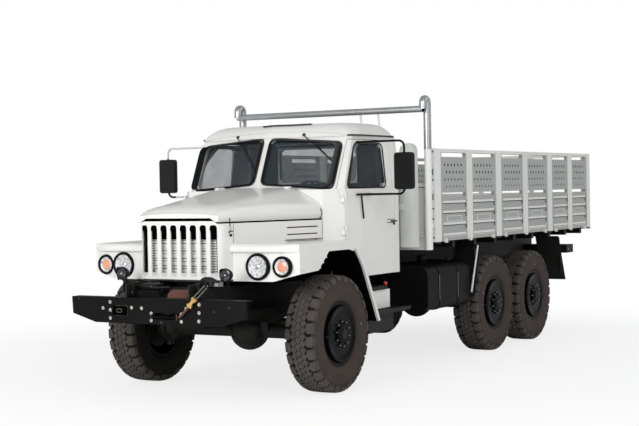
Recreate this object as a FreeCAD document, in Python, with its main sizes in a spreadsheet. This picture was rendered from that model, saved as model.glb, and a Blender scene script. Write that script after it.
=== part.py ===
import FreeCAD, Part
import math
import os
import Sketcher

# Military cargo truck, six driven wheels, long nose, drop-side load bed.
# Millimetres. X forward, Y to the vehicle's left, Z up, origin on the ground under the middle.

# Driving dimensions, each written once and kept in the sheet
sizes = {
    # Whole vehicle
    "overallLength": 8240, "frontOverhang": 1315, "wheelbase": 3680, "bogieSpacing": 1230,
    "track": 2070, "runGap": 0.3, "panelGap": 6,
    # Wheels
    "tyreDiameter": 1120, "tyreWidth": 318, "treadWidth": 262, "beadRadius": 290, "flangeRadius": 310,
    "rimWidth": 260, "rimWall": 12, "discFace": 148, "discEdge": 163, "discRadius": 268,
    "grooveDepth": 40, "hubRadius": 95, "hubReach": 26,
    "handHoleRadius": 28, "handHoleHalf": 46, "handHoleCircle": 170,
    "stubRadius": 45, "stubReach": 90, "drumRadius": 205,
    "lugHeight": 16, "lugNear": 45, "lugTaper": 9, "wallRadius": 425,
    # Axles, knuckles and steering linkage
    "axleRadius": 70, "bulgeRadius": 195, "bulgeOffset": 150, "kingpinOffset": 820, "ballRadius": 118,
    "cupRadius": 150, "bossRadius": 45, "armReach": 300, "armDrop": 120, "armThick": 26,
    "armWidth": 60, "tieRodRadius": 20, "tieEyeRadius": 34, "tiePinRadius": 14,
    # Frame
    "frameWidth": 820, "railHeight": 250, "railFlange": 80, "railPlate": 8, "railBottom": 800,
    "crossHeight": 160, "crossThick": 60,
    # Louvres, radiator fins, wing ribs and lamp bezels
    "louvreRear": -279, "louvreFront": 122, "louvreLow": 1431, "louvrePitch": 67, "louvreHeight": 12,
    "finDepth": 7, "finLow": 1118, "finPitch": 34, "finHeight": 14,
    "wingRibDepth": 4, "wingRibLow": 1200, "wingRibPitch": 46, "wingRibLean": 57,
    "bezelReach": 24, "bezelWidth": 14, "bowlDepth": 14, "lensGap": 3, "lensCurve": 1.8,
    "tankRibPitch": 135, "tankRibWidth": 24, "tankRibDepth": 7,
    # Springs
    "springWidth": 80, "springThick": 60, "springSpan": 1300, "springSag": 110, "bogiePivotRise": 160,
    # Power unit
    "engineLength": 920, "engineWidth": 560, "engineHeight": 620, "engineFront": 620, "engineBottom": 850,
    "gearboxLength": 800, "gearboxWidth": 340, "gearboxHeight": 320, "gearboxBottom": 705,
    "shaftRadius": 42, "shaftHeight": 640, "transferLength": 420, "transferWidth": 520,
    "transferHeight": 380, "transferBottom": 560, "transferFront": -2040,
    "radiatorWidth": 780, "radiatorThick": 90, "radiatorBottom": 1120, "radiatorTop": 1590,
    "radiatorPlace": 800,
    # Front bumper
    "bumperThick": 110, "bumperWall": 10, "bumperHalf": 981, "bumperTop": 968, "bumperEndLow": 810,
    "bumperLow": 732, "bumperLowHalf": 700, "hookHoleNear": 324, "hookHoleFar": 481,
    "hookHoleLow": 800, "hookHoleHigh": 897, "ropeSlotNear": -14, "ropeSlotFar": 263,
    "ropeSlotLow": 792, "ropeSlotHigh": 840,
    # Winch
    "winchPlace": 1090, "winchAxisHeight": 935, "winchDrumRadius": 62, "winchFlangeRadius": 98,
    "winchDrumNear": -60, "winchDrumFar": 330, "winchFlangeThick": 14, "winchGearLength": 250,
    # Nose
    "grilleFace": 950, "grilleHalf": 455, "grilleBottom": 1100, "grilleCorner": 105,
    "grilleWall": 14, "slotWidth": 70, "slotPitch": 112, "slotBottom": 1174, "slotTop": 1598,
    "noseRear": 700, "sideRear": -340, "sideRearHalf": 800, "bonnetSeam": 1645, "bonnetGap": 12,
    "sheetWall": 12,
    # Bonnet
    "bonnetNoseHigh": 1700, "bonnetMidHigh": 1815, "bonnetRearHigh": 1950, "lidHingeY": 400, "lidPin": 6,
    # Front wings
    "wingTop": 1438, "wingHalf": 1170, "wingFront": 790, "wingPlate": 20,
    "archTop": 1352, "archFrontX": 380, "wingTipX": -785, "wingTipZ": 610,
    "wingFaceLow": 1120,
    # Lamps
    "lampHeight": 1235, "headlampOffset": 770, "headlampRadius": 125, "sidelampOffset": 1010,
    "sidelampRadius": 98, "auxOffset": 590, "auxHeight": 1150, "auxRadius": 62,
    "auxPlace": 1060, "auxDepth": 90,
    # Cab
    "cabHalf": 1000, "cabFront": -345, "cabRear": -1660, "cabFloor": 1050, "beltHeight": 1930,
    "cabShoulderX": -530, "cabShoulderY": 955, "cabFullX": -800, "beltHalfFront": 925, "beltHalfRear": 985,
    "roofEdge": 2460, "roofTop": 2605, "cabWall": 45, "cabCorner": 90, "screenBaseX": -380,
    "screenBaseOuterX": -500, "screenTopX": -627, "screenTopOuterX": -747, "screenHalf": 870,
    "roofHalfFront": 900, "roofHalfRear": 930, "roofOverhang": 14,
    "screenInnerY": 50, "screenOuterY": 822, "screenLowInner": 1998, "screenLowOuter": 1942,
    "screenHighInner": 2446, "screenHighOuter": 2392, "screenCorner": 60, "glassThick": 6,
    "rearWindowHalf": 480, "rearWindowLow": 2010, "rearWindowHigh": 2370, "floorThick": 50,
    # Doors
    "doorFront": -530, "doorRear": -1495, "doorBeltX": -478, "doorLow": 1052,
    "doorArchHigh": 1400, "doorArchX": -933,
    "doorTop": 2425, "doorTopFront": -722, "doorInner": 872,
    "windowLow": 1945, "windowHigh": 2385, "windowLowFront": -615, "windowRear": -1365,
    "windowHighFront": -815, "windowCorner": 70, "doorHingeOut": 14,
    # Mirrors
    "mirrorX": -861, "mirrorY": 1444, "mirrorLow": 1916, "mirrorHigh": 2282, "mirrorWidth": 200,
    "mirrorThick": 60, "mirrorArmRadius": 11, "mirrorArmHigh": 2400, "mirrorArmLow": 1872,
    "mirrorSeat": 8.3, "mirrorStrutLow": 1630,
    # Cab inside
    "seatFront": -980, "seatRear": -1560, "seatHalf": 780, "seatHeight": 1500, "seatThick": 150,
    "seatBackHeight": 2000, "seatBackThick": 130, "dashFront": -480, "dashRear": -700, "dashLow": 1560,
    "dashHigh": 1880, "wheelX": -940, "wheelY": 430, "wheelZ": 1880, "wheelRadius": 225,
    "wheelTube": 15, "wheelHub": 45, "wheelTilt": 35, "columnRadius": 28,
    # Load bed
    "bedFront": 1990, "bedHalf": 1220, "gateLong": 1660, "cornerPost": 117,
    "floorLow": 1372, "floorTop": 1415, "bearerHeight": 110,
    "sillLow": 1341, "sideTop": 2345, "gateThick": 34, "postWidth": 150, "postDepth": 46,
    "gateLow": 1345, "gateGap": 6, "railBandHigh": 2303, "slotHighLow": 2258, "slotLowHigh": 1867,
    "slotLowLow": 1829, "hingeRadius": 11, "hingeOut": 14, "hingeDrop": 8, "hingeLength": 45,
    "ribDepth": 12, "ribHeight": 26,
    # Headboard and hoop
    "headTop": 1974, "headRail": 40, "cheekThick": 12, "headThick": 40, "hoopRadius": 40, "hoopTop": 2908,
    "hoopBend": 46, "hoopReach": 100, "hoopHalf": 1175, "crossbarHeight": 2762, "crossbarRadius": 34,
    # Underside boxes
    "tankFront": 1950, "tankRear": 3030, "tankInner": 600, "tankOuter": 1150, "tankLow": 600,
    "tankHigh": 1100, "tankCorner": 130, "strapWidth": 50, "strapThick": 6,
    "stepLow": 690, "stepFront": 830, "stepRear": 1580, "stepHigh": 930, "stepOuter": 1120,
    "stepInner": 780, "boxLow": 430, "silencerRadius": 120, "silencerLength": 800, "pipeRadius": 40,
    # Rear end
    "guardInner": 870, "guardOuter": 1190, "guardThick": 12, "flapLow": 680, "flapArm": 950, "rearBarHeight": 1060,
    "rearBarX": 6500, "jawRadius": 25, "jawHeight": 860,
}


class Size:
    """A length that knows its formula in the sheet and its value in millimetres."""

    def __init__(self, text, value):
        self.text = text
        self.value = float(value)

    def __add__(self, other):
        other = size(other)
        return Size(f"({self.text} + {other.text})", self.value + other.value)

    def __radd__(self, other):
        return size(other) + self

    def __sub__(self, other):
        other = size(other)
        return Size(f"({self.text} - {other.text})", self.value - other.value)

    def __rsub__(self, other):
        return size(other) - self

    def __mul__(self, other):
        other = size(other)
        return Size(f"({self.text} * {other.text})", self.value * other.value)

    __rmul__ = __mul__

    def __truediv__(self, other):
        other = size(other)
        return Size(f"({self.text} / {other.text})", self.value / other.value)

    def __neg__(self):
        return Size(f"(-1 * {self.text})", -self.value)


def size(item):
    """Read a plain number as a Size."""
    if isinstance(item, Size):
        return item
    return Size(f"{float(item):.6f}", item)


class Sheet:
    """Gives each cell of the sheet as a Size by its alias."""

    def __getattr__(self, alias):
        return Size("Sizes." + alias, sizes[alias])


doc = FreeCAD.newDocument("CargoTruck")
table = doc.addObject("Spreadsheet::Sheet", "Sizes")
for row, (alias, number) in enumerate(sizes.items(), start=1):
    table.set(f"A{row}", alias)
    table.set(f"B{row}", str(number))
    table.setAlias(f"B{row}", alias)
doc.recompute()
d = Sheet()

frontAxle = d.overallLength / 2 - d.frontOverhang
midAxle = frontAxle - d.wheelbase
rearAxle = midAxle - d.bogieSpacing
axleHeight = d.tyreDiameter / 2
rearEnd = -d.overallLength / 2


def fromAxle(distance):
    """A place given from the front axle, forward positive."""
    return frontAxle + distance


def point(x, y, z):
    """A vector from three Sizes or numbers."""
    return FreeCAD.Vector(size(x).value, size(y).value, size(z).value)


def bind(item, name, amount):
    """Tie a property to its formula, or set it where the formula holds no cell."""
    item.setExpression(name, size(amount).text)


def place(item, x=0, y=0, z=0, turn=None):
    """Put an object at a point that follows the sheet."""
    item.Placement = FreeCAD.Placement(point(x, y, z), turn or FreeCAD.Rotation())
    bind(item, "Placement.Base.x", x)
    bind(item, "Placement.Base.y", y)
    bind(item, "Placement.Base.z", z)


# Turns that lay a cylinder's own axis or a sketch's own plane where it is wanted
axisTurns = {
    "X": FreeCAD.Rotation(FreeCAD.Vector(0, 1, 0), 90),
    "Y": FreeCAD.Rotation(FreeCAD.Vector(1, 0, 0), -90),
    "Z": FreeCAD.Rotation(),
}
planeTurns = {
    "XY": FreeCAD.Rotation(),
    "XZ": FreeCAD.Rotation(FreeCAD.Vector(1, 0, 0), 90),
    "YZ": FreeCAD.Rotation(FreeCAD.Vector(1, 1, 1), 120),
}
planeNormals = {
    "XY": FreeCAD.Vector(0, 0, 1),
    "XZ": FreeCAD.Vector(0, 1, 0),
    "YZ": FreeCAD.Vector(1, 0, 0),
}


def box(name, x, y, z):
    """A block between two places on each axis."""
    block = doc.addObject("Part::Box", name)
    for side, (low, high) in zip(("Length", "Width", "Height"), (x, y, z)):
        bind(block, side, size(high) - low)
    place(block, x[0], y[0], z[0])
    return block


def rod(name, axis, start, length, radius):
    """A round bar from a point along X, Y or Z."""
    bar = doc.addObject("Part::Cylinder", name)
    bind(bar, "Radius", radius)
    bind(bar, "Height", length)
    place(bar, *start, axisTurns[axis])
    return bar


def ball(name, centre, radius):
    """A sphere about a point."""
    sphere = doc.addObject("Part::Sphere", name)
    bind(sphere, "Radius", radius)
    place(sphere, *centre)
    return sphere


def cut(name, base, *tools):
    """A base with other shapes taken out of it."""
    for number, tool in enumerate(tools):
        part = doc.addObject("Part::Cut", f"{name}_less_{number}")
        part.Base = base
        part.Tool = tool
        base = part
    return base


def fuse(name, *items):
    """Shapes joined to one solid."""
    joined = doc.addObject("Part::MultiFuse", name)
    joined.Shapes = list(items)
    joined.Refine = True
    return joined


def common(name, first, second):
    """What two shapes share."""
    shared = doc.addObject("Part::Common", name)
    shared.Base = first
    shared.Tool = second
    return shared


def group(name, *items):
    """Separate solids of one node, side by side."""
    several = doc.addObject("Part::Compound", name)
    several.Links = list(items)
    return several


def mirrored(name, item):
    """The same shape on the other side of the vehicle."""
    twin = doc.addObject("Part::Mirroring", name)
    twin.Source = item
    twin.Normal = FreeCAD.Vector(0, 1, 0)
    return twin


def both(name, item):
    """A shape and its twin on the other side."""
    return item, mirrored(name + "_twin", item)


def corner(before, here, after, radius):
    """Tangent points, centre and turning sense of a rounded corner."""
    into = (here - before).normalize()
    out = (after - here).normalize()
    turn = math.atan2(into.cross(out).z, into.dot(out))
    back = radius * math.tan(abs(turn) / 2)
    start = here - into * back
    end = here + out * back
    side = 1 if turn > 0 else -1
    centre = start + FreeCAD.Vector(-into.y, into.x, 0) * radius * side
    return start, end, centre, side


def fix(sketch, geometry, vertex, place_):
    """Hold a vertex of a sketch at a place that follows the sheet."""
    for axis, amount in zip(("DistanceX", "DistanceY"), place_):
        number = sketch.addConstraint(
            Sketcher.Constraint(axis, -1, 1, geometry, vertex, size(amount).value))
        bind(sketch, f"Constraints[{number}]", amount)


def trace(sketch, outline, closed=True):
    """Draw an outline of places (a, b), or (a, b, r) where a corner is rounded."""
    spots = [FreeCAD.Vector(size(a).value, size(b).value, 0) for a, b, *_ in outline]
    count = len(spots)
    starts, ends, arcs = list(spots), list(spots), {}
    for i in range(count):
        if len(outline[i]) < 3:
            continue
        radius = size(outline[i][2]).value
        starts[i], ends[i], centre, side = corner(
            spots[i - 1], spots[i], spots[(i + 1) % count], radius)
        from_, to = (starts[i], ends[i]) if side > 0 else (ends[i], starts[i])
        circle = Part.Circle(centre, FreeCAD.Vector(0, 0, 1), radius)
        arc = Part.ArcOfCircle(circle, math.atan2(from_.y - centre.y, from_.x - centre.x),
                               math.atan2(to.y - centre.y, to.x - centre.x))
        arcs[i] = (arc, side)
    runs = range(count if closed else count - 1)
    lines = [sketch.addGeometry(Part.LineSegment(ends[i], starts[(i + 1) % count]), False)
             for i in runs]
    for i in range(count):
        before = lines[i - 1] if closed or i > 0 else None
        after = lines[i] if i < len(lines) else None
        if i not in arcs:
            fix(sketch, after if after is not None else before, 1 if after is not None else 2,
                outline[i][:2])
            if before is not None and after is not None:
                sketch.addConstraint(Sketcher.Constraint("Coincident", before, 2, after, 1))
            continue
        arc, side = arcs[i]
        bend = sketch.addGeometry(arc, False)
        first, last = (1, 2) if side > 0 else (2, 1)
        sketch.addConstraint(Sketcher.Constraint("Tangent", before, 2, bend, first))
        sketch.addConstraint(Sketcher.Constraint("Tangent", bend, last, after, 1))
        number = sketch.addConstraint(Sketcher.Constraint("Radius", bend, size(outline[i][2]).value))
        bind(sketch, f"Constraints[{number}]", outline[i][2])
        mark = sketch.addGeometry(Part.Point(spots[i]), True)
        fix(sketch, mark, 1, outline[i][:2])
        sketch.addConstraint(Sketcher.Constraint("PointOnObject", mark, 1, before))
        sketch.addConstraint(Sketcher.Constraint("PointOnObject", mark, 1, after))


def addCircle(sketch, a, b, radius):
    """Draw a circle whose centre and radius follow the sheet."""
    centre = FreeCAD.Vector(size(a).value, size(b).value, 0)
    ring = sketch.addGeometry(Part.Circle(centre, FreeCAD.Vector(0, 0, 1), size(radius).value), False)
    fix(sketch, ring, 3, (a, b))
    number = sketch.addConstraint(Sketcher.Constraint("Radius", ring, size(radius).value))
    bind(sketch, f"Constraints[{number}]", radius)


def sketchOn(name, plane, at, outlines, circles=(), closed=True):
    """A sketch on a plane of the vehicle, moved along its normal."""
    sketch = doc.addObject("Sketcher::SketchObject", name)
    spot = {"XY": (0, 0, at), "XZ": (0, at, 0), "YZ": (at, 0, 0)}[plane]
    place(sketch, *spot, planeTurns[plane])
    for outline in outlines:
        trace(sketch, outline, closed)
    for circle in circles:
        addCircle(sketch, *circle)
    return sketch


def prism(name, plane, span, *outlines, circles=()):
    """Outlines on a plane, carried along the plane's normal over a span."""
    solid = doc.addObject("Part::Extrusion", name)
    solid.Base = sketchOn(name + "_outline", plane, span[0], outlines, circles)
    solid.DirMode = "Custom"
    solid.Dir = planeNormals[plane]
    solid.Solid = True
    bind(solid, "LengthFwd", size(span[1]) - span[0])
    return solid


def loft(name, plane, sections, ruled=True):
    """A skin over outlines at several places along the plane's normal."""
    solid = doc.addObject("Part::Loft", name)
    solid.Sections = [sketchOn(f"{name}_section_{i}", plane, at, [outline])
                      for i, (at, outline) in enumerate(sections)]
    solid.Solid = True
    solid.Ruled = ruled
    return solid


def tube(name, plane, at, path, radius, startAxis):
    """A round bar along a path drawn on a plane; startAxis is the axis of its first run."""
    spine = sketchOn(name + "_path", plane, at, [path], closed=False)
    ring = doc.addObject("Part::Circle", name + "_ring")
    bind(ring, "Radius", radius)
    a, b = path[0][:2]
    start = {"XY": (a, b, at), "XZ": (a, at, b), "YZ": (at, a, b)}[plane]
    place(ring, *start, axisTurns[startAxis])
    bar = doc.addObject("Part::Sweep", name)
    bar.Sections = [ring]
    doc.recompute()
    edges = ["Edge%d" % (i + 1) for i in range(len(spine.Shape.Edges))]
    bar.Spine = (spine, edges)
    bar.Solid = True
    bar.Transition = "Right corner"
    return bar


def newBody(name):
    """An empty body for sketched features."""
    return doc.addObject("PartDesign::Body", name)


def bodySketch(body, name, role, outlines, circles=(), shift=0):
    """A sketch on one of the body's own origin planes, moved along its normal."""
    sketch = body.newObject("Sketcher::SketchObject", name)
    plane = [item for item in body.Origin.OriginFeatures if item.Role == role][0]
    sketch.AttachmentSupport = (plane, [""])
    sketch.MapMode = "FlatFace"
    sketch.AttachmentOffset = FreeCAD.Placement(point(0, 0, shift), FreeCAD.Rotation())
    bind(sketch, "AttachmentOffset.Base.z", shift)
    for outline in outlines:
        trace(sketch, outline)
    for circle in circles:
        addCircle(sketch, *circle)
    return sketch


def spun(body, name, profile, axis="H_Axis"):
    """A profile turned all the way round an axis of its own sketch."""
    sketch = bodySketch(body, name + "_profile", "YZ_Plane", [profile])
    turned = body.newObject("PartDesign::Revolution", name)
    turned.Profile = sketch
    turned.ReferenceAxis = (sketch, [axis])
    turned.Angle = 360
    return turned


def padded(body, name, role, outlines, length, circles=(), shift=0, midplane=False, back=False):
    """A pad from outlines on an origin plane."""
    pad = body.newObject("PartDesign::Pad", name)
    pad.Profile = bodySketch(body, name + "_outline", role, outlines, circles, shift)
    pad.Midplane = midplane
    pad.Reversed = back
    bind(pad, "Length", length)
    return pad


def pocketed(body, name, role, outlines, length, circles=(), shift=0, midplane=False, back=False):
    """A pocket from outlines on an origin plane."""
    pocket = body.newObject("PartDesign::Pocket", name)
    pocket.Profile = bodySketch(body, name + "_outline", role, outlines, circles, shift)
    pocket.Midplane = midplane
    pocket.Reversed = back
    bind(pocket, "Length", length)
    return pocket


def ringPattern(body, name, features, count, axisRole="Y_Axis"):
    """Features repeated round an axis of the body."""
    pattern = body.newObject("PartDesign::PolarPattern", name)
    pattern.Originals = features
    axis = [item for item in body.Origin.OriginFeatures if item.Role == axisRole][0]
    pattern.Axis = (axis, [""])
    pattern.Angle = 360
    pattern.Occurrences = count
    body.Tip = pattern
    return pattern


nodes = []


def keep(node, item):
    """Name a finished piece and put it on the list of pieces to write."""
    item.Label = node
    nodes.append(item)
    return item


def strut(name, start, end, radius):
    """A straight round bar between two points."""
    run = point(*end) - point(*start)
    squares = [(size(b) - a) * (size(b) - a) for a, b in zip(start, end)]
    total = squares[0] + squares[1] + squares[2]
    bar = doc.addObject("Part::Cylinder", name)
    bind(bar, "Radius", radius)
    bind(bar, "Height", Size(f"sqrt({total.text})", math.sqrt(total.value)))
    place(bar, *start, FreeCAD.Rotation(FreeCAD.Vector(0, 0, 1), run))
    return bar


# Tyre and rim, drawn about their own axle and set at each of the six places
tyreSides = 32


def makeTyre():
    """A straight segment with a lug on one shoulder, turned all round with the lugs staggered."""
    half = d.tyreWidth / 2
    tread = d.treadWidth / 2
    top = d.tyreDiameter / 2
    base = top - d.lugHeight
    bead = d.beadRadius + d.runGap
    foot = d.rimWidth / 2 - d.rimWall - d.runGap
    spread = math.tan(math.pi / tyreSides)
    side = [(-foot, bead), (-foot, d.flangeRadius + d.rimWall), (-half, d.wallRadius), (-tread, base)]
    other = [(-a, b) for a, b in reversed(side)]
    straight = prism("tyre_straight", "YZ", (-top * spread, top * spread), side + other)
    slice_ = prism("tyre_slice", "XZ", (-half - 1, half + 1),
                   [(0, 0), (top * spread, top), (-top * spread, top)])
    segment = common("tyre_segment", straight, slice_)
    root = base * spread
    tip = root - d.lugTaper
    turned = []
    for row, (near, far) in enumerate(((-tread, -d.lugNear), (d.lugNear, tread))):
        lug = prism(f"lug_{row}", "XZ", (near, far),
                    [(-tip, top), (-root, base), (-tip, base - d.lugHeight), (tip, base - d.lugHeight),
                     (root, base), (tip, top)])
        piece = fuse(f"tyre_piece_{row}", segment, lug)
        for i in range(row, tyreSides, 2):
            copy = group(f"tyre_piece_turned_{i}", piece)
            place(copy, 0, 0, 0, FreeCAD.Rotation(FreeCAD.Vector(0, 1, 0), i * 360 / tyreSides))
            turned.append(copy)
    return fuse("tyre_shape", *turned)


def makeRim():
    """Barrel with both flanges, a domed disc with a rolled edge, and the hub."""
    half = d.rimWidth / 2
    wall = d.rimWall
    barrel = d.beadRadius
    inner = barrel - wall
    bore = d.stubRadius + d.runGap
    face = d.discFace
    edge = d.discEdge
    groove = half - d.grooveDepth
    reach = d.stubReach + d.runGap
    outline = [
        (-half, inner), (-half, d.flangeRadius), (-half + wall, d.flangeRadius), (-half + wall, barrel),
        (half - wall, barrel), (half - wall, d.flangeRadius), (half, d.flangeRadius), (half, inner),
        (groove, inner), (groove + wall, d.discRadius), (edge, d.discRadius, 16),
        (face, d.discRadius - 5 * wall, 60), (face, d.hubRadius), (face + d.hubReach - wall, d.hubRadius),
        (face + d.hubReach, d.hubRadius - wall), (face + d.hubReach, 0), (reach, 0), (reach, bore),
        (2 * wall, bore), (2 * wall, d.hubRadius), (face - 2 * wall, d.hubRadius),
        (face - 2 * wall, d.discRadius - 5 * wall, 40), (edge - 2 * wall, d.discRadius - 2 * wall),
        (groove - wall, d.discRadius - 2 * wall), (groove - 2 * wall, inner)]
    body = newBody("rim_shape")
    spun(body, "rim_turned", outline)
    near = d.handHoleCircle - d.handHoleRadius
    far = d.handHoleCircle + d.handHoleRadius
    long = d.handHoleHalf
    holes = pocketed(body, "hand_hole", "XZ_Plane",
                     [[(near, -long, 24), (far, -long, 24), (far, long, 24), (near, long, 24)]],
                     d.rimWidth, back=True)
    ringPattern(body, "hand_holes", [holes], 5)
    return body


wheelPlaces = {
    "front_left": (frontAxle, 1), "front_right": (frontAxle, -1),
    "middle_left": (midAxle, 1), "middle_right": (midAxle, -1),
    "rear_left": (rearAxle, 1), "rear_right": (rearAxle, -1),
}


def makeWheels():
    tyre = makeTyre()
    rim = makeRim()
    for name, (x, side) in wheelPlaces.items():
        turn = FreeCAD.Rotation(FreeCAD.Vector(0, 0, 1), 0 if side > 0 else 180)
        for label, shape in (("tyre", tyre), ("rim", rim)):
            copy = group(f"{label}_{name}", shape)
            place(copy, x, side * d.track / 2, axleHeight, turn)
            keep(f"{label}_{name}", copy)


# Axles with their bulged final drives
springMiddle = d.frameWidth / 2 - d.springWidth / 2
seatHeight = axleHeight + d.axleRadius + 20


def springSeats(name, x):
    seat = box(name + "_seat", (x - d.springWidth, x + d.springWidth),
               (springMiddle - d.springWidth / 2, springMiddle + d.springWidth / 2),
               (axleHeight, seatHeight))
    return both(name + "_seat", seat)


def axleBeam(name, x, reach):
    tube_ = rod(name + "_tube", "Y", (x, -reach, axleHeight), 2 * reach, d.axleRadius)
    bulge = ball(name + "_bulge", (x, d.bulgeOffset, axleHeight), d.bulgeRadius)
    return [tube_, bulge, *springSeats(name, x)]


def makeAxles():
    parts = axleBeam("front_beam", frontAxle, d.kingpinOffset)
    joint = ball("front_joint", (frontAxle, d.kingpinOffset, axleHeight), d.ballRadius)
    keep("front_axle", fuse("front_axle_body", *parts, *both("front_joint", joint)))
    solids = []
    wheel = d.track / 2
    for name, x in (("middle_beam", midAxle), ("rear_beam", rearAxle)):
        drum = rod(name + "_drum", "Y", (x, wheel - 150, axleHeight), 170, d.drumRadius)
        stub = rod(name + "_stub", "Y", (x, wheel, axleHeight), d.stubReach, d.stubRadius)
        ends = both(name + "_drum", drum) + both(name + "_stub", stub)
        solids.append(fuse(name, *axleBeam(name, x, wheel - 100), *ends))
    keep("bogie_axles", group("bogie_axles_pair", *solids))


# Steering knuckles: an open cup about the axle's ball, drum, stub and track-rod arm
def makeKnuckles():
    y = d.kingpinOffset
    wheel = d.track / 2
    cup = ball("cup", (frontAxle, y, axleHeight), d.cupRadius)
    hollow = ball("cup_hollow", (frontAxle, y, axleHeight), d.ballRadius + d.runGap)
    mouth = box("cup_mouth", (frontAxle - 200, frontAxle + 200), (y - 200, y - 30),
                (axleHeight - 200, axleHeight + 200))
    open_ = box("cup_open", (frontAxle - 10, frontAxle + 10), (y - 200, y - 199),
                (axleHeight - 10, axleHeight + 10))
    bosses = [rod("boss_high", "Z", (frontAxle, y, axleHeight + d.ballRadius + 15), 45, d.bossRadius),
              rod("boss_low", "Z", (frontAxle, y, axleHeight - d.ballRadius - 60), 45, d.bossRadius)]
    drum = rod("front_drum", "Y", (frontAxle, wheel - 70, axleHeight), 90, d.drumRadius)
    neck = rod("front_neck", "Y", (frontAxle, y + 125, axleHeight), wheel - y - 125, d.cupRadius)
    stub = rod("front_stub", "Y", (frontAxle, wheel, axleHeight), d.stubReach, d.stubRadius)
    low = axleHeight - d.armDrop
    arm = box("arm", (frontAxle - d.armReach, frontAxle - 60),
              (y - d.armWidth / 2, y + d.armWidth / 2), (low, low + d.armThick))
    end = rod("arm_end", "Z", (frontAxle - d.armReach, y, low), d.armThick, d.tieEyeRadius)
    solid = cut("knuckle_hollowed", fuse("knuckle_outer", cup, *bosses, drum, neck, stub, arm, end),
                hollow, mouth, open_)
    pinHole = rod("pin_hole", "Z", (frontAxle - d.armReach, y, low - 1), d.armThick + 2,
                  d.tiePinRadius + d.runGap)
    left = cut("knuckle_drilled", solid, pinHole)
    keep("knuckle_left", left)
    keep("knuckle_right", mirrored("knuckle_right_body", solid))


def makeTieRod():
    x = frontAxle - d.armReach
    y = d.kingpinOffset
    seat = axleHeight - d.armDrop + d.armThick + d.runGap
    openSeat = seat + 5
    high = openSeat + 2 * d.tieRodRadius + 4
    bar = rod("tie_bar", "Y", (x, -y, openSeat + d.tieRodRadius + 2), 2 * y, d.tieRodRadius)
    leftEye = rod("tie_eye_left", "Z", (x, y, seat), high - seat, d.tieEyeRadius)
    rightEye = rod("tie_eye_right", "Z", (x, -y, openSeat), high - openSeat, d.tieEyeRadius)
    pin = rod("tie_pin", "Z", (x, y, seat - d.armThick - d.runGap), d.armThick + 10, d.tiePinRadius)
    keep("tie_rod", fuse("tie_rod_body", bar, leftEye, rightEye, pin))


# Frame: two channel rails and their cross-members
crossPlaces = (900, -1250, -1700, -2700, -3300, -4295, -5300, -6000, -6700)


def makeFrame():
    half = d.frameWidth / 2
    plate = d.railPlate
    low = d.railBottom
    high = low + d.railHeight
    inner = half - d.railFlange
    channel = [(half, low), (half, high), (inner, high), (inner, high - plate),
               (half - plate, high - plate), (half - plate, low + plate), (inner, low + plate),
               (inner, low)]
    front = fromAxle(d.frontOverhang - d.bumperThick)
    rail = prism("rail", "YZ", (rearEnd + 200, front), channel)
    members = list(both("rail", rail))
    for i, distance in enumerate(crossPlaces):
        x = fromAxle(distance)
        members.append(box(f"cross_{i}", (x - d.crossThick / 2, x + d.crossThick / 2),
                           (-half + plate, half - plate), (high - plate - d.crossHeight, high - plate)))
    jaw = makeJaw(low, high)
    keep("chassis_frame", fuse("chassis_frame_body", *members, *jaw))


def makeJaw(low, high):
    """Rear cross plate and the open jaw of the tow coupling, with its pin hole."""
    x = rearEnd + 200
    plate = box("jaw_plate", (x - 12, x), (-d.frameWidth / 2, d.frameWidth / 2), (low, high))
    block = box("jaw_block", (x - 150, x - 12), (-70, 70), (d.jawHeight - 70, d.jawHeight + 70))
    throat = box("jaw_throat", (x - 160, x - 60), (-80, 80), (d.jawHeight - 30, d.jawHeight + 30))
    hole = rod("jaw_hole", "Z", (x - 105, 0, d.jawHeight - 80), 160, d.jawRadius)
    return plate, cut("jaw", block, throat, hole)


# Leaf packs, front ones hung from brackets and rear ones over the bogie pivot
def makeSprings():
    top = d.railBottom
    thick = d.springThick
    half = d.springSpan / 2
    end = seatHeight + d.springSag
    x = frontAxle
    front = prism("front_leaves", "XZ",
                  (springMiddle - d.springWidth / 2, springMiddle + d.springWidth / 2),
                  [(x - half, end - thick / 2), (x - d.springWidth, seatHeight, 300),
                   (x + d.springWidth, seatHeight, 300), (x + half, end - thick / 2), (x + half, top),
                   (x + half - thick, top), (x + half - 1.5 * thick, end - thick / 4),
                   (x + 1.5 * d.springWidth, seatHeight + thick, 300),
                   (x - 1.5 * d.springWidth, seatHeight + thick, 300),
                   (x - half + 1.5 * thick, end - thick / 4), (x - half + thick, top), (x - half, top)])
    middle = (midAxle + rearAxle) / 2
    reach = d.bogieSpacing / 2 + d.springWidth / 2
    rise = d.bogiePivotRise - d.springThick
    rear = prism("rear_leaves", "XZ",
                 (springMiddle - d.springWidth / 2, springMiddle + d.springWidth / 2),
                 [(middle - reach, seatHeight), (middle - reach + d.springWidth, seatHeight),
                  (middle - d.springWidth, seatHeight + rise - thick, 300),
                  (middle + d.springWidth, seatHeight + rise - thick, 300),
                  (middle + reach - d.springWidth, seatHeight), (middle + reach, seatHeight),
                  (middle + reach, seatHeight + thick / 2), (middle + 1.5 * d.springWidth, seatHeight + rise),
                  (middle + d.springWidth, top), (middle - d.springWidth, top),
                  (middle - 1.5 * d.springWidth, seatHeight + rise), (middle - reach, seatHeight + thick / 2)])
    keep("leaf_springs", group("leaf_springs_set", *both("front_leaves", front),
                               *both("rear_leaves", rear)))


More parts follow.
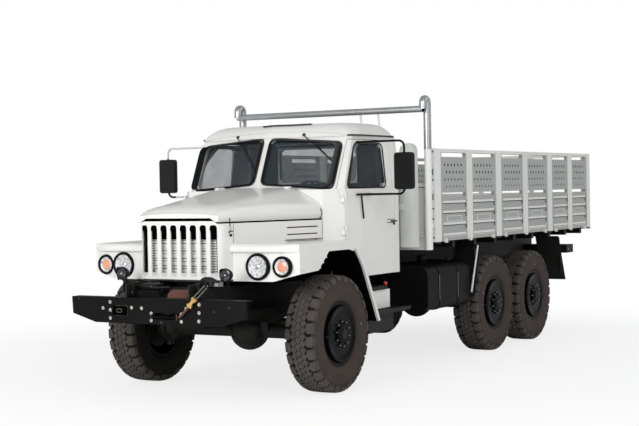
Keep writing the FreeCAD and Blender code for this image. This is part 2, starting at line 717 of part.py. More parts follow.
# Power unit: a plain engine block, gearbox, transfer box and shafts
def makePowerUnit():
    front = fromAxle(d.engineFront)
    rear = front - d.engineLength
    engine = box("engine", (rear, front), (-d.engineWidth / 2, d.engineWidth / 2),
                 (d.engineBottom, d.engineBottom + d.engineHeight))
    feet = box("engine_feet", (rear + 200, rear + 320), (-d.frameWidth / 2 + d.railPlate,
               d.frameWidth / 2 - d.railPlate), (d.engineBottom + 20, d.engineBottom + 90))
    keep("engine_block", fuse("engine_block_body", engine, feet))
    boxRear = rear - d.gearboxLength
    gearbox = box("gearbox", (boxRear, rear), (-d.gearboxWidth / 2, d.gearboxWidth / 2),
                  (d.gearboxBottom, d.gearboxBottom + d.gearboxHeight))
    bell = box("bell", (rear - 150, rear), (-d.gearboxWidth / 2, d.gearboxWidth / 2),
               (d.gearboxBottom, d.engineBottom + 150))
    transferFront = fromAxle(d.transferFront)
    transfer = box("transfer", (transferFront - d.transferLength, transferFront),
                   (-d.transferWidth / 2, d.transferWidth / 2),
                   (d.transferBottom, d.transferBottom + d.transferHeight))
    hanger = box("transfer_hanger", (transferFront - 260, transferFront - 160),
                 (-d.frameWidth / 2 + d.railPlate, d.frameWidth / 2 - d.railPlate),
                 (d.railBottom + 40, d.railBottom + 100))
    level = d.transferBottom + d.transferHeight / 2
    y = d.bulgeOffset
    reach = d.bulgeRadius - 5
    clear = d.bulgeRadius + d.runGap
    shafts = [
        strut("shaft_main", (boxRear, 0, level), (transferFront, 0, level), d.shaftRadius),
        strut("shaft_front", (transferFront, y, d.shaftHeight), (frontAxle - reach, y, axleHeight),
              d.shaftRadius),
        strut("shaft_middle", (transferFront - d.transferLength, y, d.shaftHeight),
              (midAxle + reach, y, axleHeight), d.shaftRadius)]
    frontSpace, middleSpace, rearSpace = [ball(f"drive_space_{i}", (x, y, axleHeight), clear)
                                          for i, x in enumerate((frontAxle, midAxle, rearAxle))]
    keep("driveline", cut("driveline_body", fuse("driveline_joined", gearbox, bell, transfer, hanger, *shafts),
                          frontSpace, middleSpace))
    last = strut("shaft_rear", (midAxle - reach, y, axleHeight), (rearAxle + reach, y, axleHeight),
                 d.shaftRadius)
    keep("rear_shaft", cut("rear_shaft_body", last, middleSpace, rearSpace))


def makeRadiator():
    rear = fromAxle(d.radiatorPlace)
    half = d.radiatorWidth / 2
    core = box("core", (rear, rear + d.radiatorThick), (-half, half), (d.radiatorBottom, d.radiatorTop))
    foot = box("radiator_foot", (rear, rear + d.radiatorThick), (half - 50, half),
               (d.railBottom + d.railHeight, d.radiatorBottom))
    face = rear + d.radiatorThick
    fins = [box(f"fin_{i}", (face - 2, face + d.finDepth), (-half + 80, half - 80),
                (d.finLow + d.finPitch * i, d.finLow + d.finPitch * i + d.finHeight)) for i in range(11)]
    keep("radiator", fuse("radiator_body", core, *fins, *both("radiator_foot", foot)))


# Bumper: a bent plate with hook holes and the rope slot
def makeBumper():
    face = fromAxle(d.frontOverhang)
    rear = face - d.bumperThick
    half = d.bumperHalf
    outline = [(-half, d.bumperTop), (-half + 10, d.bumperEndLow), (-d.bumperLowHalf, d.bumperLow),
               (d.bumperLowHalf, d.bumperLow), (half - 10, d.bumperEndLow), (half, d.bumperTop)]
    hook = [(-d.hookHoleFar, d.hookHoleLow), (-d.hookHoleNear, d.hookHoleLow),
            (-d.hookHoleNear, d.hookHoleHigh), (-d.hookHoleFar, d.hookHoleHigh)]
    slot = [(d.ropeSlotNear, d.ropeSlotLow), (d.ropeSlotFar, d.ropeSlotLow),
            (d.ropeSlotFar, d.ropeSlotHigh), (d.ropeSlotNear, d.ropeSlotHigh)]
    plate = prism("bumper_plate", "YZ", (face - d.bumperWall, face), outline, hook, slot)
    lips = [box("bumper_lip", (rear, face), (-half, half), (d.bumperTop - d.bumperWall, d.bumperTop)),
            box("bumper_foot", (rear, face), (-d.bumperLowHalf, d.bumperLowHalf),
                (d.bumperLow, d.bumperLow + d.bumperWall))]
    ribs = []
    for i, (low, high) in enumerate(((d.bumperLow, d.hookHoleLow - 8), (d.hookHoleHigh + 8, d.bumperTop))):
        rib = box(f"bumper_rib_{i}", (rear, face), (d.frameWidth / 2 - d.railFlange, d.frameWidth / 2),
                  (low, high))
        ribs += both(f"bumper_rib_{i}", rib)
    keep("front_bumper", fuse("front_bumper_body", plate, *lips, *ribs))


def makeWinch():
    x = fromAxle(d.winchPlace)
    z = d.winchAxisHeight
    near = d.winchDrumNear
    far = d.winchDrumFar
    flange = d.winchFlangeThick
    drum = rod("drum", "Y", (x, near, z), far - near, d.winchDrumRadius)
    cheeks = [rod("cheek_near", "Y", (x, near - flange, z), flange, d.winchFlangeRadius),
              rod("cheek_far", "Y", (x, far, z), flange, d.winchFlangeRadius)]
    gear = box("winch_gear", (x - 75, x + 85), (near - flange - d.winchGearLength, near - flange),
               (z - 85, z + 95))
    bearing = box("winch_bearing", (x - 45, x + 45), (far + flange, d.frameWidth / 2 - d.railPlate),
                  (z - 60, z + 60))
    post = box("winch_post", (x - 45, x + 45), (-d.frameWidth / 2 + d.railPlate,
               near - flange - d.winchGearLength), (z - 60, z + 60))
    keep("winch", fuse("winch_body", drum, *cheeks, gear, bearing, post))


# Nose: grille front with wrapped corners and the side panels behind it
def nosePlan(shrink):
    half = d.grilleHalf - shrink
    front = fromAxle(d.grilleFace) - shrink
    rear = fromAxle(d.sideRear)
    return [(front, -half, d.grilleCorner - shrink), (front, half, d.grilleCorner - shrink),
            (rear, d.sideRearHalf - shrink), (rear, -d.sideRearHalf + shrink)]


slotCount = 8


def makeNose():
    top = d.bonnetSeam - d.bonnetGap
    low = d.grilleBottom
    outer = prism("nose_outer", "XY", (low, top), nosePlan(0))
    inner = prism("nose_inner", "XY", (low - 1, top + 1), nosePlan(d.grilleWall))
    slots = []
    for i in range(slotCount):
        middle = (i - (slotCount - 1) / 2) * d.slotPitch
        near = middle - d.slotWidth / 2
        far = middle + d.slotWidth / 2
        slots.append([(near, d.slotBottom, 12), (far, d.slotBottom, 12), (far, d.slotTop, 30),
                      (near, d.slotTop, 30)])
    front = fromAxle(d.grilleFace)
    opening = prism("nose_slots", "YZ", (front - 2 * d.grilleCorner, front + 10), *slots)
    louvres = prism("nose_louvres", "XZ", (-d.sideRearHalf, d.sideRearHalf),
                    *[[(fromAxle(d.louvreRear), z), (fromAxle(d.louvreFront), z),
                       (fromAxle(d.louvreFront), z + d.louvreHeight),
                       (fromAxle(d.louvreRear), z + d.louvreHeight)]
                      for z in (d.louvreLow + d.louvrePitch * i for i in range(3))])
    rear = fromAxle(d.sideRear)
    arch = box("nose_under", (rear - 1, fromAxle(d.noseRear)), (-2 * d.grilleHalf, 2 * d.grilleHalf),
               (low - 2, d.wingTop))
    back = box("nose_back", (rear - 1, fromAxle(d.sideRear) + 2),
               (-d.sideRearHalf + d.grilleWall, d.sideRearHalf - d.grilleWall), (low - 2, top + 2))
    tail = prism("nose_hollow", "XY", (low - 1, top + 1),
                 [(rear - 2, -d.sideRearHalf + d.grilleWall), (rear + 30, -d.sideRearHalf + d.grilleWall + 10),
                  (rear + 30, d.sideRearHalf - d.grilleWall - 10), (rear - 2, d.sideRearHalf - d.grilleWall)])
    shell = cut("nose_shell_cut", outer, inner, opening, louvres, arch, tail, back)
    half = d.radiatorWidth / 2
    foot = box("nose_foot", (fromAxle(d.radiatorPlace) + d.radiatorThick + 5, front - d.grilleWall),
               (half - 60, half - 40),
               (d.railBottom + d.railHeight, d.grilleBottom + 40))
    keep("nose_shell", fuse("nose_shell_body", shell, *both("nose_foot", foot)))


lidAxisZ = d.bonnetRearHigh + 8


# Bonnet: a pressed lid, lofted over sections from the cowl to the nose
def bonnetSection(half, shoulder, top, low, bend):
    """One cut across the lid: upright edges, rounded shoulders and a broad flat crown."""
    return [(-half, low), (-half, shoulder, bend), (-half * 0.62, top, 180), (half * 0.62, top, 180),
            (half, shoulder, bend), (half, low)]


def bonnetLoft(name, shrink, low):
    rear = fromAxle(d.sideRear)
    front = fromAxle(d.grilleFace) + 5
    span = front - rear
    widen = (d.sideRearHalf - d.grilleHalf) / span
    stations = [
        (rear - (1 if size(shrink).value else 0), d.sideRearHalf, 1770, d.bonnetRearHigh, 60),
        (front - 0.62 * span, d.grilleHalf + widen * 0.62 * span, 1752, d.bonnetMidHigh + 65, 55),
        (front - 0.3 * span, d.grilleHalf + widen * 0.3 * span, 1738, d.bonnetMidHigh, 45),
        (front - 0.08 * span, d.grilleHalf + widen * 0.08 * span, 1712, d.bonnetMidHigh - 45, 30),
        (front - shrink, d.grilleHalf, 1676, d.bonnetNoseHigh, 16)]
    return loft(name, "YZ", [(x, bonnetSection(half - shrink, size(shoulder) - shrink, top - shrink, low, bend))
                             for x, half, shoulder, top, bend in stations])


def makeBonnet():
    outer = bonnetLoft("bonnet_outer", 0, d.bonnetSeam)
    inner = bonnetLoft("bonnet_inner", d.sheetWall, d.bonnetSeam - 1)
    knuckle = rod("bonnet_knuckle", "Y", (fromAxle(d.sideRear), -d.hingeLength - d.lidHingeY, lidAxisZ),
                  d.hingeLength, d.lidPin)
    arm = box("bonnet_arm", (fromAxle(d.sideRear), fromAxle(d.sideRear) + 40),
              (-d.hingeLength - d.lidHingeY, -d.lidHingeY), (d.bonnetRearHigh - 6, lidAxisZ + 2))
    lid = cut("bonnet_hollow", outer, inner)
    hinge = fuse("bonnet_hinge", knuckle, arm)
    keep("bonnet", fuse("bonnet_body", lid, *both("bonnet_hinge", hinge)))


# Front wings with lamp panel, outer flange and the sweep behind the wheel
def archBand(thick):
    """The wing's side view: the top plate and the sweep down behind the wheel."""
    front = fromAxle(d.wingFront)
    top = d.wingTop
    return [(front, top - thick), (front, top), (fromAxle(-210), top, 120), (fromAxle(-360), 1385, 200),
            (fromAxle(-505), 1215, 400), (fromAxle(-670), 905, 500), (fromAxle(-820), 616),
            (fromAxle(d.wingTipX), d.wingTipZ), (fromAxle(-634), 888, 500), (fromAxle(-470), 1192, 400),
            (fromAxle(-325), 1357, 200), (fromAxle(-215), top - thick, 120)]


def wingPlan(front, depth):
    """The bent lamp panel in plan."""
    return [(front, 440), (front, 790), (front - 35, 1010), (front - 78, d.wingHalf),
            (front - 78 - depth, d.wingHalf), (front - 35 - depth, 1000), (front - depth, 780),
            (front - depth, 440)]


def makeWings():
    front = fromAxle(d.wingFront)
    inner = 430
    band = prism("wing_band", "XZ", (inner, d.wingHalf), archBand(d.wingPlate))
    rear = fromAxle(-900)
    plan = [(front, inner), (front, 790), (front - 35, 1010), (front - 78, d.wingHalf),
            (rear, d.wingHalf), (rear, d.sideRearHalf - 2 * d.grilleWall),
            (fromAxle(d.sideRear), d.sideRearHalf - 2 * d.grilleWall),
            (fromAxle(d.noseRear) + 60, inner)]
    trimmed = common("wing_top", band, prism("wing_plan", "XY", (500, 1500), plan))
    flange = prism("wing_flange", "XZ", (d.wingHalf - 16, d.wingHalf),
                   [(fromAxle(712), 1167), (fromAxle(712), d.wingTop - 5), (fromAxle(-190), d.wingTop - 5),
                    (fromAxle(-325), 1357), (fromAxle(-296), 1333), (fromAxle(-200), d.archTop),
                    (fromAxle(181), d.archTop), (fromAxle(d.archFrontX), 1184)])
    panel = common("wing_face",
                   prism("wing_face_plan", "XY", (1050, d.wingTop - 5), wingPlan(front, 18)),
                   prism("wing_face_front", "YZ", (front - 200, front + 10),
                         [(440, 1100), (920, 1100), (d.wingHalf, 1168), (d.wingHalf, d.wingTop - 5),
                          (440, d.wingTop - 5)]))
    ribs = [box(f"wing_rib_{i}", (fromAxle(d.archFrontX - 35 - d.wingRibLean * i), fromAxle(660)),
                (d.wingHalf - 6, d.wingHalf + d.wingRibDepth),
                (d.wingRibLow + d.wingRibPitch * i, d.wingRibLow + d.wingRibPitch * i + 14)) for i in range(3)]
    nose = prism("wing_nose_space", "XY", (1000, d.wingTop + 1), nosePlan(0))
    keepFront = box("wing_nose_rear", (fromAxle(d.sideRear) - 10, fromAxle(d.noseRear)), (-1000, 1000),
                    (999, d.wingTop + 2))
    space = cut("wing_nose_cut", nose, keepFront)
    left = cut("wing_left", fuse("wing_joined", trimmed, flange, panel, *ribs), space)
    keep("front_wings", group("front_wings_pair", *both("wing_left", left)))


def makeLamps():
    front = fromAxle(d.wingFront)
    seat = prism("lamp_seat", "XY", (d.wingFaceLow - 70, d.wingTop), wingPlan(front + d.runGap, 80))
    sets = []
    for name, y, x, radius in (("headlamp", d.headlampOffset, front, d.headlampRadius),
                               ("sidelamp", d.sidelampOffset, front - 35, d.sidelampRadius)):
        rim = rod(name + "_rim", "X", (x - 40, y, d.lampHeight), 40 + d.bezelReach, radius)
        bowl = rod(name + "_bowl", "X", (x + d.bezelReach - d.bowlDepth, y, d.lampHeight), 2 * d.bowlDepth,
                   radius - d.bezelWidth)
        round_ = d.lensCurve * radius
        dome = ball(name + "_dome", (x + d.bezelReach + 4 - round_, y, d.lampHeight), round_)
        core = rod(name + "_core", "X", (x - 20, y, d.lampHeight), 80, radius - d.bezelWidth - d.lensGap)
        lens = common(name + "_lens", dome, core)
        sets += both(name, cut(name, fuse(name + "_joined", cut(name + "_bezel", rim, bowl), lens), seat))
    for i, (name, y) in enumerate((("aux_left", d.auxOffset), ("aux_right", -d.auxOffset))):
        x = fromAxle(d.auxPlace)
        bowl = rod(name + "_bowl", "X", (x - d.auxDepth, y, d.auxHeight), d.auxDepth, d.auxRadius)
        side = 1 if i == 0 else -1
        post = box(name + "_post", (x - 60, x - 30), (y - 12, y + 12), (d.bumperTop + 10, d.auxHeight))
        ys = sorted((side * (d.frameWidth / 2 - 60), y + side * 12), key=lambda item: size(item).value)
        foot = box(name + "_foot", (x - 60, x - 30), tuple(ys),
                   (d.railBottom + d.railHeight, d.railBottom + d.railHeight + 14))
        sets.append(fuse(name, bowl, post, foot))
    keep("lamps", group("lamps_set", *sets))


# Cab: a hollow shell with door, screen and rear window openings
def cabLower(name, shrink):
    floor = d.cabFloor + (d.floorThick if size(shrink).value else 0)
    ease = shrink * 0.8
    side = [(fromAxle(d.cabFront) - shrink, d.beltHeight - shrink),
            (fromAxle(d.cabFront) - shrink, d.wingTop + ease * 0.3),
            (fromAxle(-360) - ease, 1385 + ease * 0.4), (fromAxle(-505) - ease, 1215 + ease * 0.6),
            (fromAxle(-600) - ease, floor), (fromAxle(d.cabRear) + shrink, floor),
            (fromAxle(d.cabRear) + shrink, d.beltHeight - shrink)]
    half = d.cabHalf - shrink
    plan = [(fromAxle(d.cabFront) + 1, -d.sideRearHalf + shrink),
            (fromAxle(d.cabFront) + 1, d.sideRearHalf - shrink),
            (fromAxle(d.cabShoulderX), d.cabShoulderY - shrink), (fromAxle(d.cabFullX), half),
            (fromAxle(d.cabRear) + shrink, half, d.cabCorner - shrink),
            (fromAxle(d.cabRear) + shrink, -half, d.cabCorner - shrink), (fromAxle(d.cabFullX), -half),
            (fromAxle(d.cabShoulderX), -d.cabShoulderY + shrink)]
    return common(name, prism(name + "_side", "XZ", (-d.cabHalf - 5, d.cabHalf + 5), side),
                  prism(name + "_plan", "XY", (900, 2100), plan))


def cabPlan(screen, outer, frontHalf, rearHalf, shrink, pillar):
    """A cut through the cab above the belt, with the two screen halves set in a shallow V."""
    middle = fromAxle(screen) - shrink
    edge = fromAxle(outer) - shrink
    rear = fromAxle(d.cabRear) + shrink
    half = d.screenHalf - shrink
    front = frontHalf - shrink
    back = rearHalf - shrink
    return [(middle, 0), (edge, half), (edge - pillar, front), (rear, back), (rear, -back),
            (edge - pillar, -front), (edge, -half)]


def cabUpper(name, shrink, low, high):
    return loft(name, "XY", [
        (low, cabPlan(d.screenBaseX, d.screenBaseOuterX, d.beltHalfFront, d.beltHalfRear, shrink, 60)),
        (high, cabPlan(d.screenTopX, d.screenTopOuterX, d.roofHalfFront, d.roofHalfRear, shrink, 40))])


def roofLoft(name, shrink, drop):
    over = d.roofOverhang - shrink
    front = fromAxle(d.screenTopX) + over
    rear = fromAxle(d.cabRear) - over
    levels = [(d.roofEdge - (1 if size(drop).value else 0), 0, 0),
              (d.roofEdge + 0.55 * (d.roofTop - d.roofEdge) - drop, 70, 60),
              (d.roofTop - drop, 290, 260)]
    sections = []
    for z, back, inward in levels:
        half = d.roofHalfRear + over - inward
        sections.append((z, [(front - back, 0), (front - 120 - back, half - 60, 90),
                             (front - 260 - back, half, 200),
                             (rear + back * 0.6, half, 90), (rear + back * 0.6, -half, 90),
                             (front - 260 - back, -half, 200), (front - 120 - back, -half + 60, 90)]))
    return loft(name, "XY", sections, ruled=False)


def doorOutline(grow):
    """The door's side view, larger by the given gap for its opening."""
    return [(fromAxle(d.doorFront) + grow, d.doorArchHigh - grow), (fromAxle(d.doorFront) + grow, 1760, 60),
            (fromAxle(d.doorBeltX) + grow, 1900, 40), (fromAxle(d.doorBeltX) - 18 + grow, 1960),
            (fromAxle(d.doorTopFront) + grow, d.doorTop + grow),
            (fromAxle(d.doorRear) - grow, d.doorTop + grow, 60 + size(grow)),
            (fromAxle(d.doorRear) - grow, d.doorLow - grow, 40 + size(grow)),
            (fromAxle(d.doorArchX), d.doorLow - grow)]


def windowOutline(grow):
    return [(fromAxle(d.windowLowFront) + grow, d.windowLow - grow, d.windowCorner + grow),
            (fromAxle(d.windowHighFront) + grow, d.windowHigh + grow, d.windowCorner + grow),
            (fromAxle(d.windowRear) - grow, d.windowHigh + grow, d.windowCorner + grow),
            (fromAxle(d.windowRear) - grow, d.windowLow - grow, d.windowCorner + grow)]


def screenOutline(grow):
    inner = d.screenInnerY - grow
    outer = d.screenOuterY + grow
    round_ = d.screenCorner + grow
    return [(inner, d.screenLowInner - grow, round_), (outer, d.screenLowOuter - grow, round_),
            (outer, d.screenHighOuter + grow, round_), (inner, d.screenHighInner + grow, round_)]


def rearOutline(grow):
    half = d.rearWindowHalf + grow
    return [(-half, d.rearWindowLow - grow, 60 + size(grow)), (half, d.rearWindowLow - grow, 60 + size(grow)),
            (half, d.rearWindowHigh + grow, 60 + size(grow)), (-half, d.rearWindowHigh + grow, 60 + size(grow))]


cabParts = {}


def cabSolid(name, shrink):
    low = d.beltHeight - (2 * shrink + 2 if size(shrink).value else 0)
    upper = cabUpper(name + "_upper", shrink, low, d.roofEdge)
    roof = roofLoft(name + "_roof", shrink, shrink)
    return fuse(name, cabLower(name + "_lower", shrink), upper, roof)


def makeCab():
    outer = cabSolid("cab_outer", size(0))
    inner = cabSolid("cab_inner", d.cabWall)
    cabParts["outer"] = outer
    cabParts["inner"] = inner
    openings = []
    door = prism("door_opening", "XZ", (d.doorInner - d.panelGap, d.cabHalf + 60), doorOutline(d.panelGap))
    openings += both("door_opening", door)
    front = fromAxle(d.screenBaseX)
    screen = prism("screen_opening", "YZ", (front - 600, front + 60), screenOutline(0))
    openings += both("screen_opening", screen)
    rear = fromAxle(d.cabRear)
    openings.append(prism("rear_opening", "YZ", (rear - 20, rear + 120), rearOutline(0)))
    shell = cut("cab_shell_cut", outer, inner, *openings)
    fixed = []
    for i, z in enumerate((1480, 1800)):
        fixed += both(f"door_hinge_fixed_{i}", doorKnuckle(f"door_hinge_fixed_{i}", z, 1))
    near = d.lidHingeY - d.runGap - d.hingeLength
    pin = rod("lid_pin", "Y", (fromAxle(d.sideRear), near, lidAxisZ), d.hingeLength, d.lidPin)
    ear = box("lid_ear", (fromAxle(d.cabFront) - 20, fromAxle(d.sideRear) - 2), (near, near + d.hingeLength),
              (d.beltHeight - 20, lidAxisZ))
    fixed += both("lid_pin", fuse("lid_mount", pin, ear))
    keep("cab_shell", fuse("cab_shell_body", shell, *fixed))
    makeGlass(outer, inner)


def doorAxis():
    return fromAxle(d.doorFront) + 22, d.cabShoulderY + d.doorHingeOut


def doorKnuckle(name, z, side):
    """Half of a door hinge: the barrel on the axis and the leaf to pillar or door."""
    x, y = doorAxis()
    start = z if side > 0 else z + d.hingeLength + d.runGap
    barrel = rod(name + "_barrel", "Z", (x, y, start), d.hingeLength, 9)
    span = (start, start + d.hingeLength)
    if side > 0:
        return fuse(name, barrel, box(name + "_leaf", (x + 6, x + 30), (y - 34, y + 2), span))
    leaf = box(name + "_leaf", (x - 70, x), (y - 8, y + 2), span)
    foot = box(name + "_foot", (x - 70, x - 34), (y - 34, y - 7), span)
    return fuse(name, barrel, leaf, foot)


def makeGlass(outer, inner):
    """Two screen halves and the rear window, each a thin slice of the wall."""
    low = d.beltHeight
    high = d.roofEdge
    outside = cabUpper("glass_outside", d.cabWall / 2 - d.glassThick / 2, low, high)
    inside = cabUpper("glass_inside", d.cabWall / 2 + d.glassThick / 2, low - 1, high + 1)
    skin = cut("glass_skin", outside, inside)
    front = fromAxle(d.screenBaseX)
    screen = prism("screen_pane", "YZ", (front - 500, front + 60), screenOutline(-d.runGap))
    left = common("screen_left", skin, screen)
    rear = fromAxle(d.cabRear)
    back = prism("rear_pane", "YZ", (rear - 20, rear + 120), rearOutline(-d.runGap))
    keep("cab_glass", group("cab_glass_set", *both("screen_left", left), common("rear_glass", skin, back)))
    side = prism("door_pane", "XZ", (d.doorInner, d.cabHalf + 60), windowOutline(-d.runGap))
    glass = common("door_glass", skin, side)
    keep("door_glass_left", group("door_glass_left_pane", glass))
    keep("door_glass_right", mirrored("door_glass_twin", glass))


def makeDoors():
    blank = prism("door_blank", "XZ", (d.doorInner, d.cabHalf + 60), doorOutline(0))
    slab = common("door_slab", cabParts["outer"], blank)
    window = prism("door_window", "XZ", (d.doorInner - 10, d.cabHalf + 60), windowOutline(0))
    panel = cut("door_panel", slab, cabParts["inner"], window)
    leaves = [doorKnuckle(f"door_hinge_moving_{i}", z, -1) for i, z in enumerate((1480, 1800))]
    handle = box("door_handle", (fromAxle(d.doorRear) + 50, fromAxle(d.doorRear) + 190),
                 (d.cabHalf - 5, d.cabHalf + 28), (1580, 1600))
    left = fuse("door_left_body", panel, *leaves, handle)
    keep("door_left", left)
    keep("door_right", mirrored("door_right_body", left))


def makeMirrors():
    x = fromAxle(d.mirrorX)
    y = d.mirrorY
    high = d.mirrorArmHigh
    low = d.mirrorArmLow
    radius = d.mirrorArmRadius
    half = d.mirrorWidth / 2
    head = prism("mirror_head", "YZ", (x - d.mirrorThick / 2, x + d.mirrorThick / 2),
                 [(y - half, d.mirrorLow, 30), (y + half, d.mirrorLow, 30), (y + half, d.mirrorHigh, 30),
                  (y - half, d.mirrorHigh, 30)])
    top = tube("mirror_arm", "YZ", x, [(d.roofHalfFront + d.mirrorSeat, high), (y, high, 60),
                                       (y, low, 60), (d.cabHalf + d.runGap, low)], radius, "Y")
    rail = rod("mirror_rail", "X", (x - 150, d.cabHalf + radius + d.runGap, low), 340, radius)
    strutBar = strut("mirror_strut", (x + 100, d.cabHalf + radius, low),
                     (x + 60, d.cabHalf + radius, d.mirrorStrutLow), 8)
    left = fuse("mirror_left_body", head, top, rail, strutBar)
    keep("mirror_left", left)
    keep("mirror_right", mirrored("mirror_right_body", left))


def makeCabin():
    front = fromAxle(d.seatFront)
    rear = fromAxle(d.seatRear)
    half = d.seatHalf
    floor = d.cabFloor + d.floorThick
    cushion = box("cushion", (rear, front), (-half, half), (d.seatHeight - d.seatThick, d.seatHeight))
    back = box("seat_back", (rear - 20, rear - 20 + d.seatBackThick), (-half, half),
               (d.seatHeight + d.runGap, d.seatBackHeight))
    keep("seat_cushion", cushion)
    keep("seat_back", back)
    stand = box("seat_stand", (rear + 10, front - 60), (-half + 20, half - 20),
                (floor, d.seatHeight - d.seatThick - d.runGap))
    keep("seat_base", stand)
    dash = prism("dash_block", "XZ", (-d.cabHalf + 180, d.cabHalf - 180),
                 [(fromAxle(d.dashFront), d.dashLow), (fromAxle(d.dashRear), d.dashLow, 30),
                  (fromAxle(d.dashRear), d.dashHigh - 40, 40), (fromAxle(d.dashRear) + 100, d.dashHigh, 40),
                  (fromAxle(d.dashFront), d.dashHigh)])
    lean = math.radians(90 - sizes["wheelTilt"])
    x, z = fromAxle(d.wheelX), d.wheelZ
    reach = d.wheelHub + d.runGap
    start = (x + reach * math.cos(lean), d.wheelY, z - reach * math.sin(lean))
    end = (x + 420 * math.cos(lean), d.wheelY, z - 420 * math.sin(lean))
    column = strut("column", start, end, d.columnRadius)
    wall = box("dash_wall", (fromAxle(d.dashFront), fromAxle(d.cabFront) - d.cabWall),
               (-d.cabHalf + 260, d.cabHalf - 260), (d.dashLow + 60, d.dashHigh - 20))
    keep("dashboard", fuse("dashboard_body", dash, wall, column))
    makeSteeringWheel(x, z, lean)


def makeSteeringWheel(x, z, lean):
    """Rim, three spokes and hub, drawn flat and then leaned back to the column."""
    body = newBody("steering_shape")
    ring = body.newObject("PartDesign::AdditiveTorus", "rim")
    bind(ring, "Radius1", d.wheelRadius)
    bind(ring, "Radius2", d.wheelTube)
    padded(body, "hub", "XY_Plane", [], d.wheelHub, circles=[(0, 0, 38)], shift=-d.wheelHub)
    spoke = padded(body, "spoke", "XY_Plane",
                   [[(20, -11), (d.wheelRadius, -11), (d.wheelRadius, 11), (20, 11)]], 10, shift=-5)
    ringPattern(body, "spokes", [spoke], 3, "Z_Axis")
    whole = group("steering_wheel_body", body)
    turn = FreeCAD.Rotation(FreeCAD.Vector(0, 1, 0), -sizes["wheelTilt"])
    place(whole, x, d.wheelY, z, turn)
    keep("steering_wheel", whole)


# Load bed: floor on bearers, posts, drop sides, tailgate and headboard
bedFront = fromAxle(-d.bedFront)
axisY = d.bedHalf + d.hingeOut
axisZ = d.gateLow - d.hingeDrop
floorHalf = d.bedHalf - d.postDepth - d.gateGap
firstPost = bedFront - 28 - d.postWidth / 2
posts = [firstPost, firstPost - d.gateLong, firstPost - 2 * d.gateLong]
tailX = rearEnd + d.hingeRadius
tailFace = tailX + d.hingeOut
tailInner = tailFace + d.gateThick
floorRear = tailInner + 2 * d.gateGap
gateSpans = [
    (posts[1] + d.postWidth / 2 + d.gateGap, posts[0] - d.postWidth / 2 - d.gateGap),
    (posts[2] + d.postWidth / 2 + d.gateGap, posts[1] - d.postWidth / 2 - d.gateGap),
    (rearEnd + d.cornerPost + d.gateGap, posts[2] - d.postWidth / 2 - d.gateGap),
]


def hingePlaces(span):
    """Three hinges of a drop side, near both ends and under the middle post."""
    low, high = span
    length = d.hingeLength
    return [low + 60, (low + high) / 2 - length, high - 60 - 2 * length]


def makeFloor():
    front = bedFront
    back = rearEnd + d.cornerPost + 1
    ahead = front - d.headThick - 1
    side = floorHalf - d.cheekThick - 1
    plate = prism("floor_plate", "XY", (d.floorLow, d.floorTop),
                  [(floorRear, -side), (back, -side), (back, -floorHalf), (ahead, -floorHalf),
                   (ahead, floorHalf), (back, floorHalf), (back, side), (floorRear, side)])
    lips = [box("sill_" + str(i), (floorRear, front), tuple(ys), (d.sillLow, d.floorLow))
            for i, ys in enumerate(((floorHalf - 40, floorHalf), (-floorHalf, -floorHalf + 40)))]
    rails = [box("bearer_long_" + str(i), (floorRear + 60, front - 100), ys,
                 (d.railBottom + d.railHeight, d.floorLow - d.bearerHeight))
             for i, ys in enumerate(((d.frameWidth / 2 - d.railFlange, d.frameWidth / 2),
                                     (-d.frameWidth / 2, -d.frameWidth / 2 + d.railFlange)))]
    count = 9
    pitch = (front - 80 - floorRear - 80) / (count - 1)
    cross = []
    for i in range(count):
        x = floorRear + 40 + pitch * i
        cross.append(box(f"bearer_{i}", (x, x + 70), (-floorHalf + 40, floorHalf - 40),
                         (d.floorLow - d.bearerHeight, d.floorLow)))
    ends = [box("front_sill", (front - 90, front), (-floorHalf + 10, floorHalf - 10),
                (d.floorLow - d.bearerHeight, d.floorLow))]
    hinges = []
    for k, span in enumerate(gateSpans):
        for j, x in enumerate(hingePlaces(span)):
            barrel = rod(f"side_barrel_{k}{j}", "X", (x, axisY, axisZ), d.hingeLength, d.hingeRadius)
            arm = box(f"side_arm_{k}{j}", (x, x + d.hingeLength), (floorHalf - 20, axisY),
                      (axisZ - d.hingeRadius, axisZ - 3))
            stem = box(f"side_stem_{k}{j}", (x, x + d.hingeLength), (floorHalf - 20, floorHalf),
                       (axisZ - d.hingeRadius, d.sillLow + 10))
            hinges += both(f"side_hinge_{k}{j}", fuse(f"side_hinge_{k}{j}", barrel, arm, stem))
    for j, y in enumerate((-900, -d.hingeLength, 900 - 2 * d.hingeLength)):
        barrel = rod(f"tail_barrel_{j}", "Y", (tailX, y, axisZ), d.hingeLength, d.hingeRadius)
        arm = box(f"tail_arm_{j}", (tailX, floorRear + 30), (y, y + d.hingeLength),
                  (axisZ - d.hingeRadius, axisZ - 3))
        stem = box(f"tail_stem_{j}", (floorRear, floorRear + 30), (y, y + d.hingeLength),
                   (axisZ - d.hingeRadius, d.floorLow + 5))
        hinges.append(fuse(f"tail_hinge_{j}", barrel, arm, stem))
    keep("bed_floor", fuse("bed_floor_body", plate, *lips, *rails, *cross, *ends, *hinges))


def makePosts():
    solids = []
    for i, x in enumerate(posts):
        post = box(f"post_{i}", (x - d.postWidth / 2, x + d.postWidth / 2), (floorHalf, d.bedHalf),
                   (d.sillLow, d.sideTop))
        solids += both(f"post_{i}", post)
    rear = box("corner_post", (rearEnd, rearEnd + d.cornerPost), (floorHalf, d.bedHalf), (d.sillLow, d.sideTop))
    cheek = box("corner_cheek", (tailFace, rearEnd + d.cornerPost), (floorHalf - d.cheekThick, floorHalf),
                (d.floorLow, d.sideTop))
    solids += both("corner", fuse("corner", rear, cheek))
    keep("bed_posts", group("bed_posts_set", *solids))


ribHeights = (1413, 1530, 1660, 1767)


